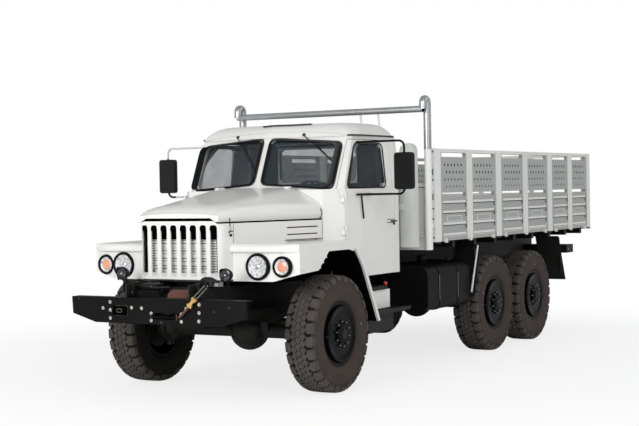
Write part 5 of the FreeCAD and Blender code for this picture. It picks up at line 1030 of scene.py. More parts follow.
# Winch: wound rope, its taut end, hook and strap
ropeSettings = {
    "radius": 0.013,
    "path": [(4.055, 0.235, 0.818), (4.128, 0.262, 0.806), (4.146, 0.300, 0.822), (4.150, 0.354, 0.872),
             (4.150, 0.398, 0.912)],
    "drum": (3.895, 0.935),            # forward, height
    "layers": (0.072, 0.090),          # radii of the two layers
    "wound": (0.022, 0.320),           # across: where the windings begin and end
    "twist": 190.0,                    # radians that a strand turns in a metre
    "hookFoot": (4.150, 0.392, 0.905),
    "hookLean": (0.66, 0.75),          # the hook's way, across and up
    # (across, along) round the hook: two ends and a waist
    "cheek": [(-0.026, 0.0), (-0.030, 0.012), (-0.018, 0.030), (-0.014, 0.050), (-0.018, 0.070),
              (-0.030, 0.088), (-0.024, 0.102), (0.024, 0.102), (0.030, 0.088), (0.018, 0.070),
              (0.014, 0.050), (0.018, 0.030), (0.030, 0.012), (0.026, 0.0)],
    "strapEnd": (4.085, 0.535, 1.082),
}


def ropeStrand(path, radius, twist, shift, sides=8):
    # one strand wound about the path: offset by radius at an angle that grows with the length
    path = spaced(path, 0.006)
    tangent = unit(np.gradient(path, axis=0))
    side = unit(np.cross(tangent, (0.0, 0.3, 1.0)))
    up = np.cross(side, tangent)
    angle = (runLengths(path) * twist + shift)[:, None]
    line = path + radius * (np.cos(angle) * side + np.sin(angle) * up)
    return carried(line, ring(radius * 0.98, sides), (1.0, 0.1, 0.2))


def barAlong(start, end, half, thick):
    # a flat bar from start to end
    return carried([start, end], [(-half, -thick), (half, -thick), (half, thick), (-half, thick)], (1, 0, 0))


def makeRope(settings):
    # windings: a torus row for each turn of the rope on the drum, in two layers
    r = settings["radius"] * 0.8
    count = int(0.375 / (2 * r))
    drumX, drumZ = settings["drum"]
    drumEnd, ropeEnd = settings["wound"]
    turns = []
    for layer, radius in enumerate(settings["layers"]):
        section = ring(r, 8) + (0, radius)
        middles = drumEnd + r + 2 * r * np.arange(count) + (r * 0.5 if layer else 0)
        turns += [lathe(section, (drumX, y, drumZ), "Y", 32, closed=True) for y in middles[middles < ropeEnd]]
    makePiece("ropeTurns", turns, ropeFibre, "chassis", smooth=60)
    rope = rounded(settings["path"], 0.03, 6)
    strands = [ropeStrand(rope, settings["radius"] * 0.52, settings["twist"], k * 2.094) for k in range(3)]
    makePiece("ropeEnd", strands, ropeFibre, "chassis", smooth=60)
    # hook: one thick cheek and a pin at each end
    way = np.array((0.0, *settings["hookLean"])) / np.linalg.norm(settings["hookLean"])
    low = np.array(settings["hookFoot"])
    across = np.cross(way, (1, 0, 0))
    outline = [(low + a * across + b * way)[1:] for a, b in settings["cheek"]]
    gold = [slab(outline, "YZ", 4.134, 4.166)]
    gold += [rod(low + way * b, 0.026, 0.012, "X", 16) for b in (0.010, 0.092)]
    makePiece("ropeHook", gold, hookGold, "chassis", smooth=40, bevel=0.004)
    top, strapEnd = low + way * 0.098, np.array(settings["strapEnd"])
    strap = [barAlong(top + across * s, strapEnd + across * s, 0.006, 0.011) for s in (-0.016, 0.016)]
    makePiece("ropeStrap", strap, dullSteel, "chassis", smooth=30, bevel=0.002)


# Tow hooks: a bent horn on a plate above each frame rail, and what stands behind the bumper
towSettings = {
    # forward, outwards beyond the plate, height along the horn
    "horn": [(3.93, 0.0, 1.075), (4.02, 0.04, 1.122), (4.06, 0.10, 1.150), (4.055, 0.17, 1.158),
             (4.03, 0.225, 1.128)],
    "plate": 0.400,
    "spread": {1: 1.0, -1: 0.42},       # the right one is seen more from its end
    "girth": (0.026, 0.021, 0.009),     # radius at the foot, the middle and the tip
    "pipes": [([(3.90, -0.40, 1.06), (3.97, -0.30, 1.075), (3.98, -0.12, 1.05), (3.93, 0.02, 1.06)], 0.010),
              ([(3.85, -0.36, 1.10), (3.95, -0.34, 1.13), (3.96, -0.20, 1.11), (3.88, -0.16, 1.10)], 0.008)],
    "bolts": [(4.02, -0.365, 1.06), (4.02, -0.345, 1.01), (3.922, -0.20, 1.06), (3.922, -0.28, 1.06),
              (3.87, 0.40, 1.07), (3.87, -0.42, 1.09)],
}


def makeTowHooks(settings):
    hooks = []
    plate = settings["plate"]
    t = np.linspace(0, 2 * np.pi, 13)[:-1]
    cosines, sines = np.cos(t)[None, :, None], np.sin(t)[None, :, None]
    for side, wide in settings["spread"].items():
        path = [(x, side * (plate + out * wide), z) for x, out, z in settings["horn"]]
        line = spaced(rounded(path, 0.06, 6), 0.012)
        girth = np.interp(np.linspace(0, 1, len(line)), (0, 0.5, 1), settings["girth"])
        tangent = unit(np.gradient(line, axis=0))
        out = unit(np.cross(tangent, (0.2, 0.0, 1.0)))
        up = np.cross(out, tangent)
        horn = line[:, None] + girth[:, None, None] * (cosines * out[:, None] + sines * up[:, None])
        hooks.append(gridPart(horn, wrapColumns=True, caps=True))
        hooks.append(block((3.86, 4.00), sorted((side * 0.345, side * plate)), (1.046, 1.100)))
        hooks.append(block((3.94, 4.10), sorted((side * 0.345, side * 0.362)), (0.975, 1.090)))
    makePiece("towHooks", hooks, castBlack, "chassis", smooth=50)
    # plumbing and brackets behind the bumper
    bits = [pipe(path, radius, bend=0.05) for path, radius in settings["pipes"]]
    bits += [block((3.80, 3.92), (-0.34, -0.14), (1.035, 1.085)),
             block((3.95, 4.02), (-0.385, -0.33), (0.98, 1.085)),
             lathe([(-0.02, 0), (-0.02, 0.075), (0.10, 0.075), (0.115, 0.06), (0.115, 0)],
                   (3.895, -0.235, 0.945), "Y", 32),
             block((3.30, 3.42), (0.42, 0.47), (0.80, 0.90))]
    bits += [block((2.55, 3.32), sorted((side * 0.425, side * 0.465)), (0.715, 0.800)) for side in (1, -1)]
    makePiece("winchFittings", bits, castBlack, "chassis", smooth=40, bevel=0.003)
    makePiece("winchBolts", [studs(settings["bolts"], "X", 0.008, 0.008)], brightSteel, "chassis", smooth=30)


makeBumperTrim(bumperSettings)
makeRope(ropeSettings)
makeTowHooks(towSettings)
print("front: bumper bolts, rope, hooks")


# Nose: painted shade over the core, its sides, seams and catches
noseSettings = {
    "seamPlace": 0.777, "rearSeam": -0.337, "seamLow": 1.445, "seamHigh": 1.630,
    # forward, across and height from and to of the dark sheets of painted shade round the core
    "shroud": [((3.700, 3.712), (-0.415, 0.415), (1.487, 1.628)),
               ((3.600, 3.705), (-0.420, -0.396), (1.10, 1.628)),
               ((3.600, 3.705), (0.396, 0.420), (1.10, 1.628)),
               ((3.700, 3.712), (-0.415, 0.415), (1.09, 1.150))],
    "fins": (1.165, 1.480, 0.0235),     # height from and to, and pitch
    # slots: from this height to that one, and the finish; the tops are patches of painted shade
    "slots": {"slotTops": (1.570, 1.621, paintedShadeBlack), "slotFeet": (1.178, 1.146, greyPaint)},
    "slotCount": 8, "slotPitch": 0.112, "slotHalf": 0.035, "slotBend": 0.024,
    "browRise": 0.024, "browFoot": 1.626, "browTop": 1.6335,
    # (forward, height) of the small studs
    "studs": [(0.80, 1.590), (0.822, 1.585), (0.73, 1.458), (0.73, 1.18)],
}


def noseSide(forward, height, lift=0.0):
    # a point on the nose's left side panel, raised by lift
    slope = (0.80 - 0.455) / (0.95 + 0.34)
    out = np.array((slope, 1.0, 0.0)) / math.hypot(slope, 1.0)
    return np.array((frontAxle + forward, 0.455 + (0.95 - forward) * slope, height)) + out * lift


def makeNoseFront(settings):
    # the shroud is dark sheets of painted shade round the core
    makePiece("noseShroud", [block(*sizes) for sizes in settings["shroud"]], paintedShadeBlack, "chassis")
    # round ends of the slots, laid on the grille: height runs out to a circle's arc at the corners
    noseTree = castTree("nose_shell")
    half, bend = settings["slotHalf"], settings["slotBend"]
    across = np.linspace(-half, half, 11)
    rest = np.maximum(np.abs(across) - (half - bend), 0)
    share = np.linspace(0, 1, 6)[:, None]
    for name, (low, high, finish) in settings["slots"].items():
        reach = np.abs(high - low) - bend + np.sqrt(np.maximum(bend ** 2 - rest ** 2, 0))
        heights = low + np.sign(high - low) * share * reach[None, :]
        slots = []
        for i in range(settings["slotCount"]):
            middle = (i - (settings["slotCount"] - 1) / 2) * settings["slotPitch"]
            face = castOn(noseTree, [(5.0, middle + a, min(high, 1.612)) for a in across], (-1, 0, 0), 0.0026)
            flat = np.repeat(face[None, :, :2], 6, axis=0)
            slots.append(gridPart(np.concatenate([flat, heights[..., None]], axis=-1)))
        makePiece(name, slots, finish, "chassis")
    fins = [block((3.697, 3.700), (-0.44, 0.44), (z, z + 0.006)) for z in np.arange(*settings["fins"])]
    makePiece("coreFins", fins, dullSteel, "chassis")
    # a dark line of painted shade, the louvre's shadow, on each side of the nose
    lines = []
    for side in (1, -1):
        ends = [noseSide(a, 1.4515, 0.001) * (1, side, 1) for a in (0.150, -0.322)]
        lines.append(pipe(ends, 0.0042, normal=(0, 0, 1), sides=8))
    makePiece("louvreShadeLines", lines, sealRubber, "chassis")
    # brow: a rail round the nose whose top rises smoothly over the slots
    plan = rounded([(3.640, 0.4845), (3.7562, 0.4562), (3.7562, -0.4562), (3.640, -0.4845)], 0.080, 10)
    plan = spaced(plan, 0.012)
    rise = np.clip((0.440 - np.abs(plan[:, 1])) / 0.045, 0, 1)
    top = settings["browTop"] + settings["browRise"] * rise ** 2 * (3 - 2 * rise)
    foot = np.full(len(plan), settings["browFoot"])
    inner = plan * (1, 0.97) - (0.012, 0)
    rows = [np.column_stack(pair) for pair in ((plan, foot), (plan, top), (inner, top), (inner, foot))]
    makePiece("noseBrow", [gridPart(np.array(rows), wrapRows=True)], bodyPaint, "chassis", smooth=40)


def makeNoseSides(settings):
    # dark seams, a catch of wire and grip, and studs: made on the left, mirrored to the right
    seams = []
    for place, half, rise in ((settings["seamPlace"], 0.0017, 0.0006),
                              (settings["rearSeam"], 0.0012, 0.0004)):
        ends = [noseSide(place, height, 0.0006) for height in (settings["seamHigh"], settings["seamLow"])]
        seams.append(carried(ends, [(-half, -0.002), (half, -0.002), (half, rise), (-half, rise)],
                             (0.26, 1, 0)))
    low, high = noseSide(0.822, 1.600, 0.006), noseSide(0.822, 1.676, 0.006)
    wire = pipe([low, high, high + (0.0, -0.02, 0.006)], 0.004, normal=(1, 0, 0.01))
    grip = carried([noseSide(0.835, 1.545, 0.004), noseSide(0.822, 1.566, 0.010),
                    noseSide(0.800, 1.560, 0.014)], ring(0.009, 8, 0.6), (0, 0, 1))
    knob = lathe([(-0.004, 0.012), (0.012, 0.012), (0.018, 0.007), (0.018, 0)],
                 noseSide(0.815, 1.524), "Y", 14)
    stud = lathe([(-0.002, 0.006), (0.004, 0.006), (0.006, 0.003), (0.006, 0)], (0, 0, 0), "Y", 10)
    bright = copies(stud, [noseSide(f, z) for f, z in settings["studs"]])
    makePiece("noseSeams", bothSides(seams), sealRubber, "chassis")
    makePiece("noseCatches", bothSides([wire, grip, knob]), castBlack, "chassis", smooth=50)
    makePiece("noseStuds", bothSides([bright]), brightSteel, "chassis", smooth=50)


# Wings: rolled lips and the wheel spaces, dark sheets of painted shade
wingSettings = {
    # (outwards, height) of the wing's rolled lip
    "lip": [(-0.060, 1.4392), (-0.010, 1.4388), (0.008, 1.434), (0.022, 1.424), (0.031, 1.410),
            (0.034, 1.396), (0.034, 1.372), (0.028, 1.366), (-0.030, 1.366)],
    # (forward, outwards) of the wing's edge, seen from above
    "edge": [(3.5952, 0.488), (3.5952, 0.790), (3.5602, 1.010), (3.5190, 1.166)],
    # (forward of the axle, height) along the wheel space's roof and rear
    "roof": [(0.700, 1.411), (-0.212, 1.411), (-0.318, 1.350), (-0.461, 1.196), (-0.624, 0.890),
             (-0.776, 0.610)],
    # place, heights and reach of the plates behind the wheel, clear of the tyre at its limits
    "plates": [(2.4745, (1.135, 1.370), 0.985), (2.295, (1.020, 1.160), 0.790)],
    "bolts": [(3.500, 1.170, 1.205), (3.500, 1.170, 1.330), (3.455, 1.170, 1.200)],
}


def makeWings(settings):
    edge = spaced(rounded(settings["edge"], 0.06, 6), 0.02)
    way = np.gradient(edge, axis=0)
    out = unit(np.stack([way[:, 1], -way[:, 0]], axis=-1))
    share = np.interp(edge[:, 1], (0.488, 0.98, 1.166), (1.0, 1.0, 0.10))[:, None]
    # the lip stands out less towards the wing's corner
    rows = []
    for a, z in settings["lip"]:
        reach = a * share if a > 0 else np.full_like(share, a)
        rows.append(np.column_stack([edge + out * reach, np.full(len(edge), z)]))
    makePiece("wingLips", bothSides([gridPart(np.array(rows), wrapRows=True)]), bodyPaint,
              "chassis", smooth=50)
    arches = []
    line = rounded(settings["roof"], 0.12, 6)
    for low, high, keep in ((0.52, 1.150, line[:, 0] > -0.345), (0.80, 1.150, line[:, 0] < -0.30)):
        roof = [[(frontAxle + x, y, z) for y in (low, high)] for x, z in line[keep]]
        arches.append(gridPart(np.array(roof)))
    # the wheel space's inner wall: a dark sheet of painted shade beside the engine
    wall = [[(frontAxle + x, y, z) for z in (1.05, 1.41)] for x, y in ((0.69, 0.470), (-0.34, 0.745))]
    arches.append(gridPart(np.array(wall)))
    for x, heights, wide in settings["plates"]:
        arches.append(gridPart(np.array([[(x, y, z) for z in heights] for y in (0.450, wide)])))
    # roof, wall and plates of the wheel spaces are sheets of painted shade
    makePiece("wheelSpaces", bothSides(arches), paintedShadeBlack, "chassis", smooth=60, solid=0.003)
    bolts = bothSides([studs(settings["bolts"], "Y", 0.006, 0.004)])
    makePiece("wingBolts", bolts, brightSteel, "chassis", smooth=30)


makeNoseFront(noseSettings)
makeNoseSides(noseSettings)
makeWings(wingSettings)
print("nose: shroud, seams, catches, lips and arches")


# Wheels: nuts on the disc, bolts on the hub and a balance weight on the bead
wheelSettings = {
    "nutCount": 10, "nutCircle": 0.119, "nutRadius": 0.0125, "nutHeight": 0.020, "discFace": 0.148,
    "hubCount": 8, "hubCircle": 0.072, "hubFace": 0.174,
    "valve": [(0.292, 0.120, 0.0), (0.285, 0.150, 0.0), (0.262, 0.172, 0.0)],
}


def spotsRound(count, radius, along, start):
    # places on a circle about Y
    t = np.linspace(0, 2 * np.pi, count, endpoint=False) + start
    return np.stack([radius * np.cos(t), np.full(count, along), radius * np.sin(t)], axis=-1)


def makeWheelTrim(settings):
    hub = settings["hubFace"]
    cap = lathe([(hub - 0.004, 0.050), (hub + 0.010, 0.047), (hub + 0.014, 0.036), (hub + 0.014, 0)],
                (0, 0, 0), "Y", 28)
    tip = lathe([(0, 0.0055), (0.009, 0.0055), (0.011, 0.003), (0.011, 0)], (0, 0, 0), "Y", 10)
    weight = block((0.375, 0.392), (0.1512, 0.1562), (-0.006, 0.006))
    valve = pipe(settings["valve"], 0.004, normal=(0, 0, 1), sides=8)
    hubSpots = spotsRound(settings["hubCount"], settings["hubCircle"], hub - 0.001, 0.2)
    for label, (x, y) in wheelPlaces.items():
        nutSpots = spotsRound(settings["nutCount"], settings["nutCircle"],
                              settings["discFace"] - 0.002, 0.3 * x)
        nuts = studs(nutSpots, "Y", settings["nutRadius"], settings["nutHeight"])
        tips = [copies(tip, nutSpots + (0, settings["nutHeight"] - 0.002, 0)), turned(weight, "Y", 0.5 + x)]
        sets = {"Nuts": ([nuts, cap, studs(hubSpots, "Y", 0.008, 0.008)], castBlack),
                "Tips": (tips, brightSteel), "Valve": ([valve], castBlack)}
        for word, (parts, finish) in sets.items():
            shown = parts if y > 0 else [flipped(part) for part in parts]
            makePiece(f"wheel{word}_{label}", [moved(part, (x, y, axleHeight)) for part in shown], finish,
                      f"wheel_{label}", smooth=35)


makeWheelTrim(wheelSettings)
print("wheels: nuts, hubs and valves")


# Bed: holes as dark discs of painted shade with raised rims, embossed panels, painted shade lines under the
# ribs and on the headboard, small hooks, post bolts, sill and silver hoops
bedSettings = {
    "spans": {"front": (-0.867, 0.631), "middle": (-2.527, -1.029), "rear": (-3.997, -2.689)},
    # height and radius of each row of holes
    "rows": [(2.170, 0.0170), (2.092, 0.0165), (2.012, 0.0145), (1.934, 0.0120)],
    "outer": 1.208, "inner": 1.174, "pitch": 0.086,
    "ribs": [1.767, 1.660, 1.530],
    "panel": (1.500, 1.553, 1.612),     # heights of the embossed lines
    "lowLine": 1.387,
    "posts": (0.712, -0.948, -2.608, -4.0615),
    "postBolts": (2.311, 2.006, 1.700, 1.590, 1.488, 1.390),
    "postHook": [(0.792, 1.200, 2.120), (0.806, 1.200, 2.112), (0.808, 1.200, 2.080), (0.794, 1.200, 2.068)],
    # (forward, height) round the channel under the headboard
    "sill": [(0.8155, 1.262), (0.872, 1.262), (0.872, 1.272), (0.826, 1.272), (0.826, 1.404), (0.872, 1.404),
             (0.872, 1.4145), (0.8155, 1.4145)],
    # (forward, height) of the hoop's tube, and how far out it stands
    "hoop": [(0.855, 2.335), (0.855, 2.868), (0.955, 2.868), (0.955, 2.762)],
    "hoopOut": 1.175,
}


def gateTrim(span, settings):
    low, high = span
    middle = (low + high) / 2
    outer, pitch = settings["outer"], settings["pitch"]
    panelLow, panelLine, panelTop = settings["panel"]
    rims, holes, hooks, lines = [], [], [], []
    for a, b in ((low + 0.04, middle - 0.09), (middle + 0.09, high - 0.04)):
        count = int((b - a - 0.04) / pitch)
        for j, (z, r) in enumerate(settings["rows"]):
            # every other row is shifted by half a pitch
            start = (a + b) / 2 - pitch * (count - 0.5) / 2 + (0 if j % 2 else 0.5) * pitch
            places = np.array([(start + pitch * i, 0, z) for i in range(count)])
            # each hole is a dark disc of painted shade inside a raised rim, on both faces
            for face, way in ((outer, 1), (settings["inner"], -1)):
                disc = [(0.0014 * way, 0.0), (0.0014 * way, r * 1.12)]
                rim = [(0.0, r * 1.25), (0.0012 * way, r * 1.16), (0.0012 * way, r)]
                for kept, profile in ((holes, disc), (rims, rim)):
                    kept.append(copies(lathe(profile[::-way], (0, 0, 0), "Y", 14), places + (0, face, 0)))
        rear = a + 0.012
        for z in settings["ribs"]:
            # a dark line of painted shade under each rib, turned down behind its rear end, and a small dark
            # hook there
            path = [(b - 0.02, outer + 0.006, z - 0.0165), (rear, outer + 0.006, z - 0.0165),
                    (rear, outer + 0.006, z - 0.062)]
            hooks.append(pipe(path, 0.0045, bend=0.008, sides=6))
            hooks.append(pipe([(rear, outer - 0.002, z - 0.018), (rear, outer + 0.010, z + 0.012)], 0.006,
                              normal=(1, 0, 0), sides=6))
        x0, x1 = a + (b - a) * 0.20, a + (b - a) * 0.80
        for x in (x0, x1):
            lines.append(pipe([(x, outer + 0.002, panelLow), (x, outer + 0.002, panelTop)], 0.0045, sides=6))
        for first, last, z in ((x0, x1, panelLine), (x0, x1, panelTop),
                               (a + 0.02, b - 0.02, settings["lowLine"])):
            lines.append(pipe([(first, outer + 0.001, z), (last, outer + 0.001, z)], 0.004, sides=6))
    return {"Rims": (rims + lines, bedPaint), "HoleShades": (holes, sealRubber), "RibShades": (hooks, frameBlack)}


def makeBedTrim(settings):
    for row, span in settings["spans"].items():
        sets = gateTrim(span, settings)
        for word in ("left", "right"):
            for label, (parts, finish) in sets.items():
                shown = parts if word == "left" else [flipped(part) for part in parts]
                makePiece(f"gate{label}_{row}_{word}", shown, finish, f"gate_{row}_{word}",
                          smooth=50, tidy=False, merge=False)
    # posts: bolts and hooks on the front corner post, dark feet at every post
    bolts = [studs([(0.787, 1.196, z) for z in settings["postBolts"]], "X", 0.010, 0.007)]
    for drop in (0, 0.27):
        bolts.append(pipe([(x, y, z - drop) for x, y, z in settings["postHook"]], 0.006, bend=0.01, sides=8))
    feet = []
    for x in settings["posts"]:
        feet.append(block((x - 0.040, x + 0.040), (1.160, 1.2235), (1.322, 1.3405)))
        feet.append(pipe([(x - 0.05, 1.215, 1.333), (x + 0.05, 1.215, 1.333)], 0.009, sides=8))
    makePiece("postBolts", bothSides(bolts), castBlack, "chassis", smooth=30)
    makePiece("postFeet", bothSides(feet), frameBlack, "chassis", smooth=30)
    makePiece("frontSill", [slab(settings["sill"], "XZ", -1.128, 1.128)], bedPaint, "chassis", smooth=30,
              bevel=0.002)
    # dark lines of painted shade under the headboard's top rail and along its panel's edges
    lines = [block((0.8148, 0.8172), (s - 0.002, s + 0.002), (1.43, 1.93)) for s in (-1.165, 1.165)]
    lines.append(block((0.815, 0.8235), (-1.20, 1.20), (1.926, 1.933)))
    makePiece("headShadeLines", lines, sealRubber, "chassis")
    # silver tubes of the hoop, from the headboard's rail to the bar over the cab
    out, (barX, barZ) = settings["hoopOut"], settings["hoop"][-1]
    tubes = [pipe([(x, side * out, z) for x, z in settings["hoop"]], 0.0408, bend=0.085, sides=28)
             for side in (1, -1)]
    tubes.append(pipe([(barX, -out, barZ), (barX, out, barZ)], 0.0349, normal=(0, 0, 1), sides=28))
    makePiece("hoopTubes", tubes, hoopMetal, "chassis", smooth=60)


makeBedTrim(bedSettings)
print("bed: holes, ties, bolts, sill and hoops")


# Sides and rear: step treads, lamp, label plate, guide rod, flap braces, rear lamps, tank cap and a painted
# highlight along the tank's straps
sideSettings = {
    "step": (-1.58, -0.83), "treadCount": 18,     # the step's ends from the axle, and its ribs
    "plate": ((-1.353, -0.967), (0.985, 1.000), (0.700, 0.888)),
    "sideLamp": (-1.235, 1.005, 0.952),
    "guideRod": [(-0.387, 1.186, 1.256), (-0.191, 1.186, 0.735)],
    "tankCap": (0.375, 0.840, 1.140),
    "tankFront": 0.855, "tankLength": 1.08, "straps": (0.28, 0.72),
    "flaps": (-3.00, -0.30),
    "rearLamps": (0.96, 0.80, 0.64),              # red, amber and white
    "rearFace": -3.9455,
    # the mirror's back from the axle, and its glass outwards and in height
    "mirror": -0.861, "mirrorGlass": ((1.360, 1.528), (1.934, 2.264)),
}


def makeSideTrim(settings):
    treads, black, steel, red, amber, white = [], [], [], [], [], []
    x0, x1 = (frontAxle + end for end in settings["step"])
    for i in range(settings["treadCount"]):
        x = x0 + 0.02 + i * (x1 - x0 - 0.04) / (settings["treadCount"] - 1)
        treads.append(block((x - 0.007, x + 0.007), (0.800, 1.110), (0.690, 0.6955)))
    treads.append(block((x0, x1), (1.116, 1.126), (0.668, 0.699)))
    (rear, front), across, heights = settings["plate"]
    white.append(block((frontAxle + rear, frontAxle + front), across, heights))
    x, y, z = settings["sideLamp"]
    red.append(lathe([(0, 0.021), (0.014, 0.021), (0.024, 0.014), (0.027, 0)],
                     (frontAxle + x, y, z), "Y", 20))
    white.append(pipe(settings["guideRod"], 0.011, sides=10))
    black.append(lathe([(-0.02, 0.030), (0.020, 0.030), (0.026, 0.024), (0.026, 0)],
                       (-0.104, 0.934, 1.100), "Z", 20))
    # a bright strip along one edge of each strap over the tank is a painted highlight, and the cap stands on
    # its top
    black.append(lathe([(0, 0.052), (0.030, 0.052), (0.036, 0.046), (0.036, 0.012),
                        (0.046, 0.010), (0.046, 0)], settings["tankCap"], "Z", 28))
    for share in settings["straps"]:
        x = settings["tankFront"] - settings["tankLength"] * share
        steel.append(block((x + 0.022, x + 0.026), (1.1535, 1.1575), (0.70, 0.98)))
    for side in (1, -1):
        for a in settings["flaps"]:
            for top, foot in ((1.170, 1.175), (0.92, 0.92)):
                black.append(pipe([(a - 0.02, side * top, 1.240), (a - 0.10, side * foot, 0.78)],
                                  0.012, sides=8))
        for y, kept in zip(settings["rearLamps"], (red, amber, white)):
            centre = (settings["rearFace"], side * y, 1.060)
            kept.append(lathe([(-0.014, 0), (-0.012, 0.030), (-0.004, 0.042), (0.002, 0.044)],
                              centre, "X", 24))
            black.append(lathe([(0.002, 0.048), (-0.006, 0.048), (-0.006, 0.043), (0.002, 0.043)],
                               centre, "X", 24, closed=True))
        steel.append(lathe([(0, 0.011), (0.010, 0.011), (0.010, 0)],
                           (-3.74, side * 1.030 - (0.01 if side < 0 else 0), 1.06), "Y", 12))
    makePiece("stepTreads", bothSides(treads), frameBlack, "chassis")
    makePiece("sideBraces", black, castBlack, "chassis", smooth=45)
    makePiece("sideSteel", steel, brightSteel, "chassis", smooth=45)
    makePiece("redLamps", red, redLens, "chassis", smooth=50)
    makePiece("amberLamps", amber, amberLens, "chassis", smooth=50)
    makePiece("whitePlates", white, bedPaint, "chassis", smooth=50)
    # mirror glasses face backwards on their doors
    x = frontAxle + settings["mirror"] - 0.0305
    across, heights = settings["mirrorGlass"]
    for side, word in ((1, "left"), (-1, "right")):
        glass = block((x - 0.004, x), sorted(side * y for y in across), heights)
        makePiece(f"mirrorGlass_{word}", [glass], chromeFinish, f"door_{word}", bevel=0.003)


makeSideTrim(sideSettings)
print("sides: steps, lamps, braces and mirrors")


# Cab inside: near-black linings of painted shade on the rear wall, the roof and the doors
def panelRound(plane, at, outer, inner, thick):
    # a flat frame between two rectangles (low a, high a, low b, high b)
    a0, a1, b0, b1 = outer
    c0, c1, d0, d1 = inner
    spans = [((a0, c0), (b0, b1)), ((c1, a1), (b0, b1)), ((c0, c1), (b0, d0)), ((c0, c1), (d1, b1))]
    parts = []
    for (low, high), (bottom, top) in spans:
        outline = [(low, bottom), (high, bottom), (high, top), (low, top)]
        parts.append(slab(outline, plane, at, at + thick))
    return parts


insideSettings = {
    "rearWall": 1.1915,
    # low and high across, low and high of the rear lining and of its window
    "rear": (-0.86, 0.86, 1.12, 2.41),
    "window": (-0.500, 0.500, 1.990, 2.390),
    # (forward, height) round the door's panel
    "panel": [(1.36, 1.13), (2.20, 1.43), (2.22, 1.90), (1.34, 1.90)],
    # (forward, outwards, height) along the pull
    "pull": [(1.62, 0.868, 1.70), (1.62, 0.835, 1.70), (1.90, 0.835, 1.72), (1.90, 0.868, 1.72)],
}


def makeInside(settings):
    rear = panelRound("YZ", settings["rearWall"], settings["rear"], settings["window"], 0.006)
    roof = [block((1.20, 1.98), (-0.80, 0.80), (2.438, 2.444))]
    makePiece("cabShadeLining", rear + roof, paintedShadeLining, "chassis", bevel=0.001)
    for side, word in ((1, "left"), (-1, "right")):
        panel = slab(settings["panel"], "XZ", *sorted((side * 0.866, side * 0.870)))
        pull = pipe([(x, side * y, z) for x, y, z in settings["pull"]], 0.012, normal=(0, 0, 1), bend=0.03,
                    sides=10)
        makePiece(f"doorShadeLining_{word}", [panel, pull], paintedShadeLining, f"door_{word}", smooth=45)


makeInside(insideSettings)
print("cab: linings")


# Seats: two padded blocks, filled by a cloth simulation over the plain solids
seatSettings = {
    "inset": 0.006,      # how much smaller than its solid each side starts
    "voxel": 0.012,
    "pressure": 4.0,
    "frames": 20,
    "cap": 0.020,        # no point moves further than this
    "fill": 0.6,
}


def seatShape(node, settings):
    # the node's mesh merged, pulled in a little and remeshed evenly
    source = nodes[node]
    mesh = bpy.data.meshes.new(f"{node}Soft")
    build = bmesh.new()
    build.from_mesh(source.data)
    bmesh.ops.remove_doubles(build, verts=build.verts, dist=1e-5)
    bmesh.ops.recalc_face_normals(build, faces=build.faces)
    for vertex in build.verts:
        vertex.co = source.matrix_world @ vertex.co
    points = np.array([vertex.co for vertex in build.verts])
    low, high = points.min(axis=0), points.max(axis=0)
    middle, half = (low + high) / 2, (high - low) / 2
    for vertex in build.verts:
        vertex.co = Vector(middle + (np.array(vertex.co) - middle) * (half - settings["inset"]) / half)
    build.to_mesh(mesh)
    build.free()
    return mesh


def makeSeat(node, settings):
    seat = newObject(f"{node}_pad", seatShape(node, settings))
    bpy.context.view_layer.objects.active = seat
    seat.select_set(True)
    remesh = seat.modifiers.new("even", "REMESH")
    remesh.mode = "VOXEL"
    remesh.voxel_size = settings["voxel"]
    bpy.ops.object.modifier_apply(modifier=remesh.name)
    start = np.array([vertex.co for vertex in seat.data.vertices])
    cloth = seat.modifiers.new("fill", "CLOTH")
    cloth.settings.use_pressure = True
    cloth.settings.uniform_pressure_force = settings["pressure"]
    cloth.settings.effector_weights.gravity = 0.0
    cloth.point_cache.frame_start = 1
    cloth.point_cache.frame_end = settings["frames"]
    for step in range(1, settings["frames"] + 1):
        bpy.context.scene.frame_set(step)
    bpy.ops.object.modifier_apply(modifier=cloth.name)
    swelling = np.array([vertex.co for vertex in seat.data.vertices]) - start
    reach = np.linalg.norm(swelling, axis=1, keepdims=True)
    ends = start + swelling * np.minimum(1.0, settings["cap"] / np.maximum(reach, 1e-9))
    seat.data.vertices.foreach_set("co", ends.ravel())
    bpy.context.scene.frame_set(1)
    seat.select_set(False)
    smooth = seat.modifiers.new("smooth", "SUBSURF")
    smooth.levels = smooth.render_levels = 1
    seat.data.shade_smooth()
    seat.data.materials.clear()
    seat.data.materials.append(seatCloth)
    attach(seat, "chassis")
    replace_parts(seat, node)


for node in ("seat_cushion", "seat_back"):
    makeSeat(node, seatSettings)
print("seats: cushion and back filled")


# Floor, light and background
studioSettings = {
    "floorHalf": 60.0,
    "floorTone": 0.90,
    "fadeNear": 3.0,      # the floor turns to the background's white between these distances
    "fadeFar": 7.5,
    "fadeStart": 0.78,    # share of white under the truck
    "skyLevel": 0.50,
    "mirrored": 0.45,     # the sky's level in reflections
    "lamps": [
        # place, aim, size, power
        ((9.5, 10.0, 6.8), (1.0, 0.5, 1.2), 7.0, 460.0),
        ((15.0, -1.0, 4.6), (2.0, 0.0, 1.4), 6.0, 800.0),
        ((-8.0, 10.0, 7.0), (-2.5, 0.5, 1.2), 7.0, 170.0),
    ],
}


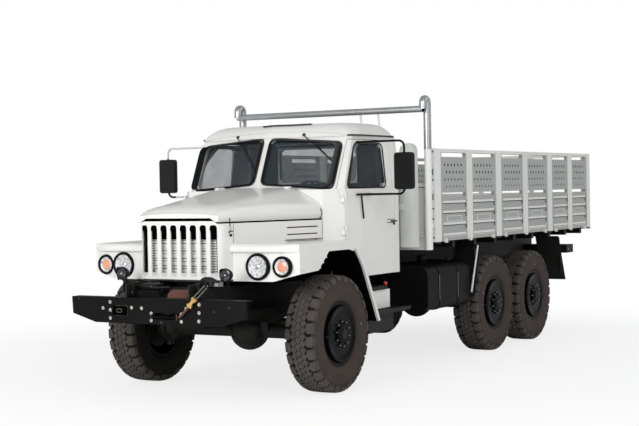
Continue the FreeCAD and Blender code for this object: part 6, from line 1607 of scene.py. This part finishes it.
def makeStudio(settings):
    half = settings["floorHalf"]
    mesh = bpy.data.meshes.new("studioFloor")
    mesh.from_pydata([(-half, -half, 0), (half, -half, 0), (half, half, 0), (-half, half, 0)], [],
                     [(0, 1, 2, 3)])
    floor = newObject("studioFloor", mesh)
    made, tree, shader = newMaterial("studioFloor")
    shader.inputs["Roughness"].default_value = 0.9
    shader.inputs["Specular IOR Level"].default_value = 0.1
    place = addNode(tree, "ShaderNodeTexCoord").outputs["Object"]
    tone = settings["floorTone"]
    tint = addRange(tree, addNoise(tree, place, 1.3, 3.0), 0.0, 1.0, tone, tone + 0.02)
    tree.links.new(tint, shader.inputs["Base Color"])
    # the camera sees the floor fade to white with the distance from the truck's middle
    reach = addNode(tree, "ShaderNodeVectorMath", {0: place}, operation="LENGTH").outputs["Value"]
    fade = addRange(tree, reach, settings["fadeNear"], settings["fadeFar"], settings["fadeStart"], 1.0,
                    interpolation_type="SMOOTHSTEP")
    white = addNode(tree, "ShaderNodeEmission", {"Color": (1, 1, 1, 1), "Strength": 1.0})
    seen = addNode(tree, "ShaderNodeLightPath").outputs["Is Camera Ray"]
    mix = addNode(tree, "ShaderNodeMixShader", {0: addMath(tree, "MULTIPLY", fade, seen),
                                                1: shader.outputs[0],
                  2: white.outputs[0]})
    tree.links.new(mix.outputs[0], tree.nodes["Material Output"].inputs["Surface"])
    mesh.materials.append(made)
    for i, (where, aim, size, power) in enumerate(settings["lamps"]):
        data = bpy.data.lights.new(f"softLamp{i}", "AREA")
        data.shape = "DISK"
        data.size = size
        data.energy = power
        lamp = newObject(f"softLamp{i}", data)
        way = Vector(aim) - Vector(where)
        lamp.matrix_world = Matrix.Translation(where) @ way.to_track_quat("-Z", "Y").to_matrix().to_4x4()
    world = bpy.data.worlds.new("studioSky")
    world.use_nodes = True
    tree = world.node_tree
    tree.nodes.clear()
    # the camera and clear glass see white, gloss sees the level mirrored, and the rest skyLevel
    path = addNode(tree, "ShaderNodeLightPath").outputs
    dull = addRange(tree, path["Is Glossy Ray"], 0.0, 1.0, settings["skyLevel"], settings["mirrored"])
    clear = addMath(tree, "MAXIMUM", path["Is Camera Ray"], path["Is Transmission Ray"])
    level = addRange(tree, clear, 0.0, 1.0, dull, 1.0)
    sky = addNode(tree, "ShaderNodeBackground", {"Color": (1, 1, 1, 1), "Strength": level})
    addNode(tree, "ShaderNodeOutputWorld", {"Surface": sky.outputs[0]})
    bpy.context.scene.world = world
    bpy.context.scene.view_settings.view_transform = "Standard"


makeStudio(studioSettings)
print("studio: floor, lamps and sky are up")
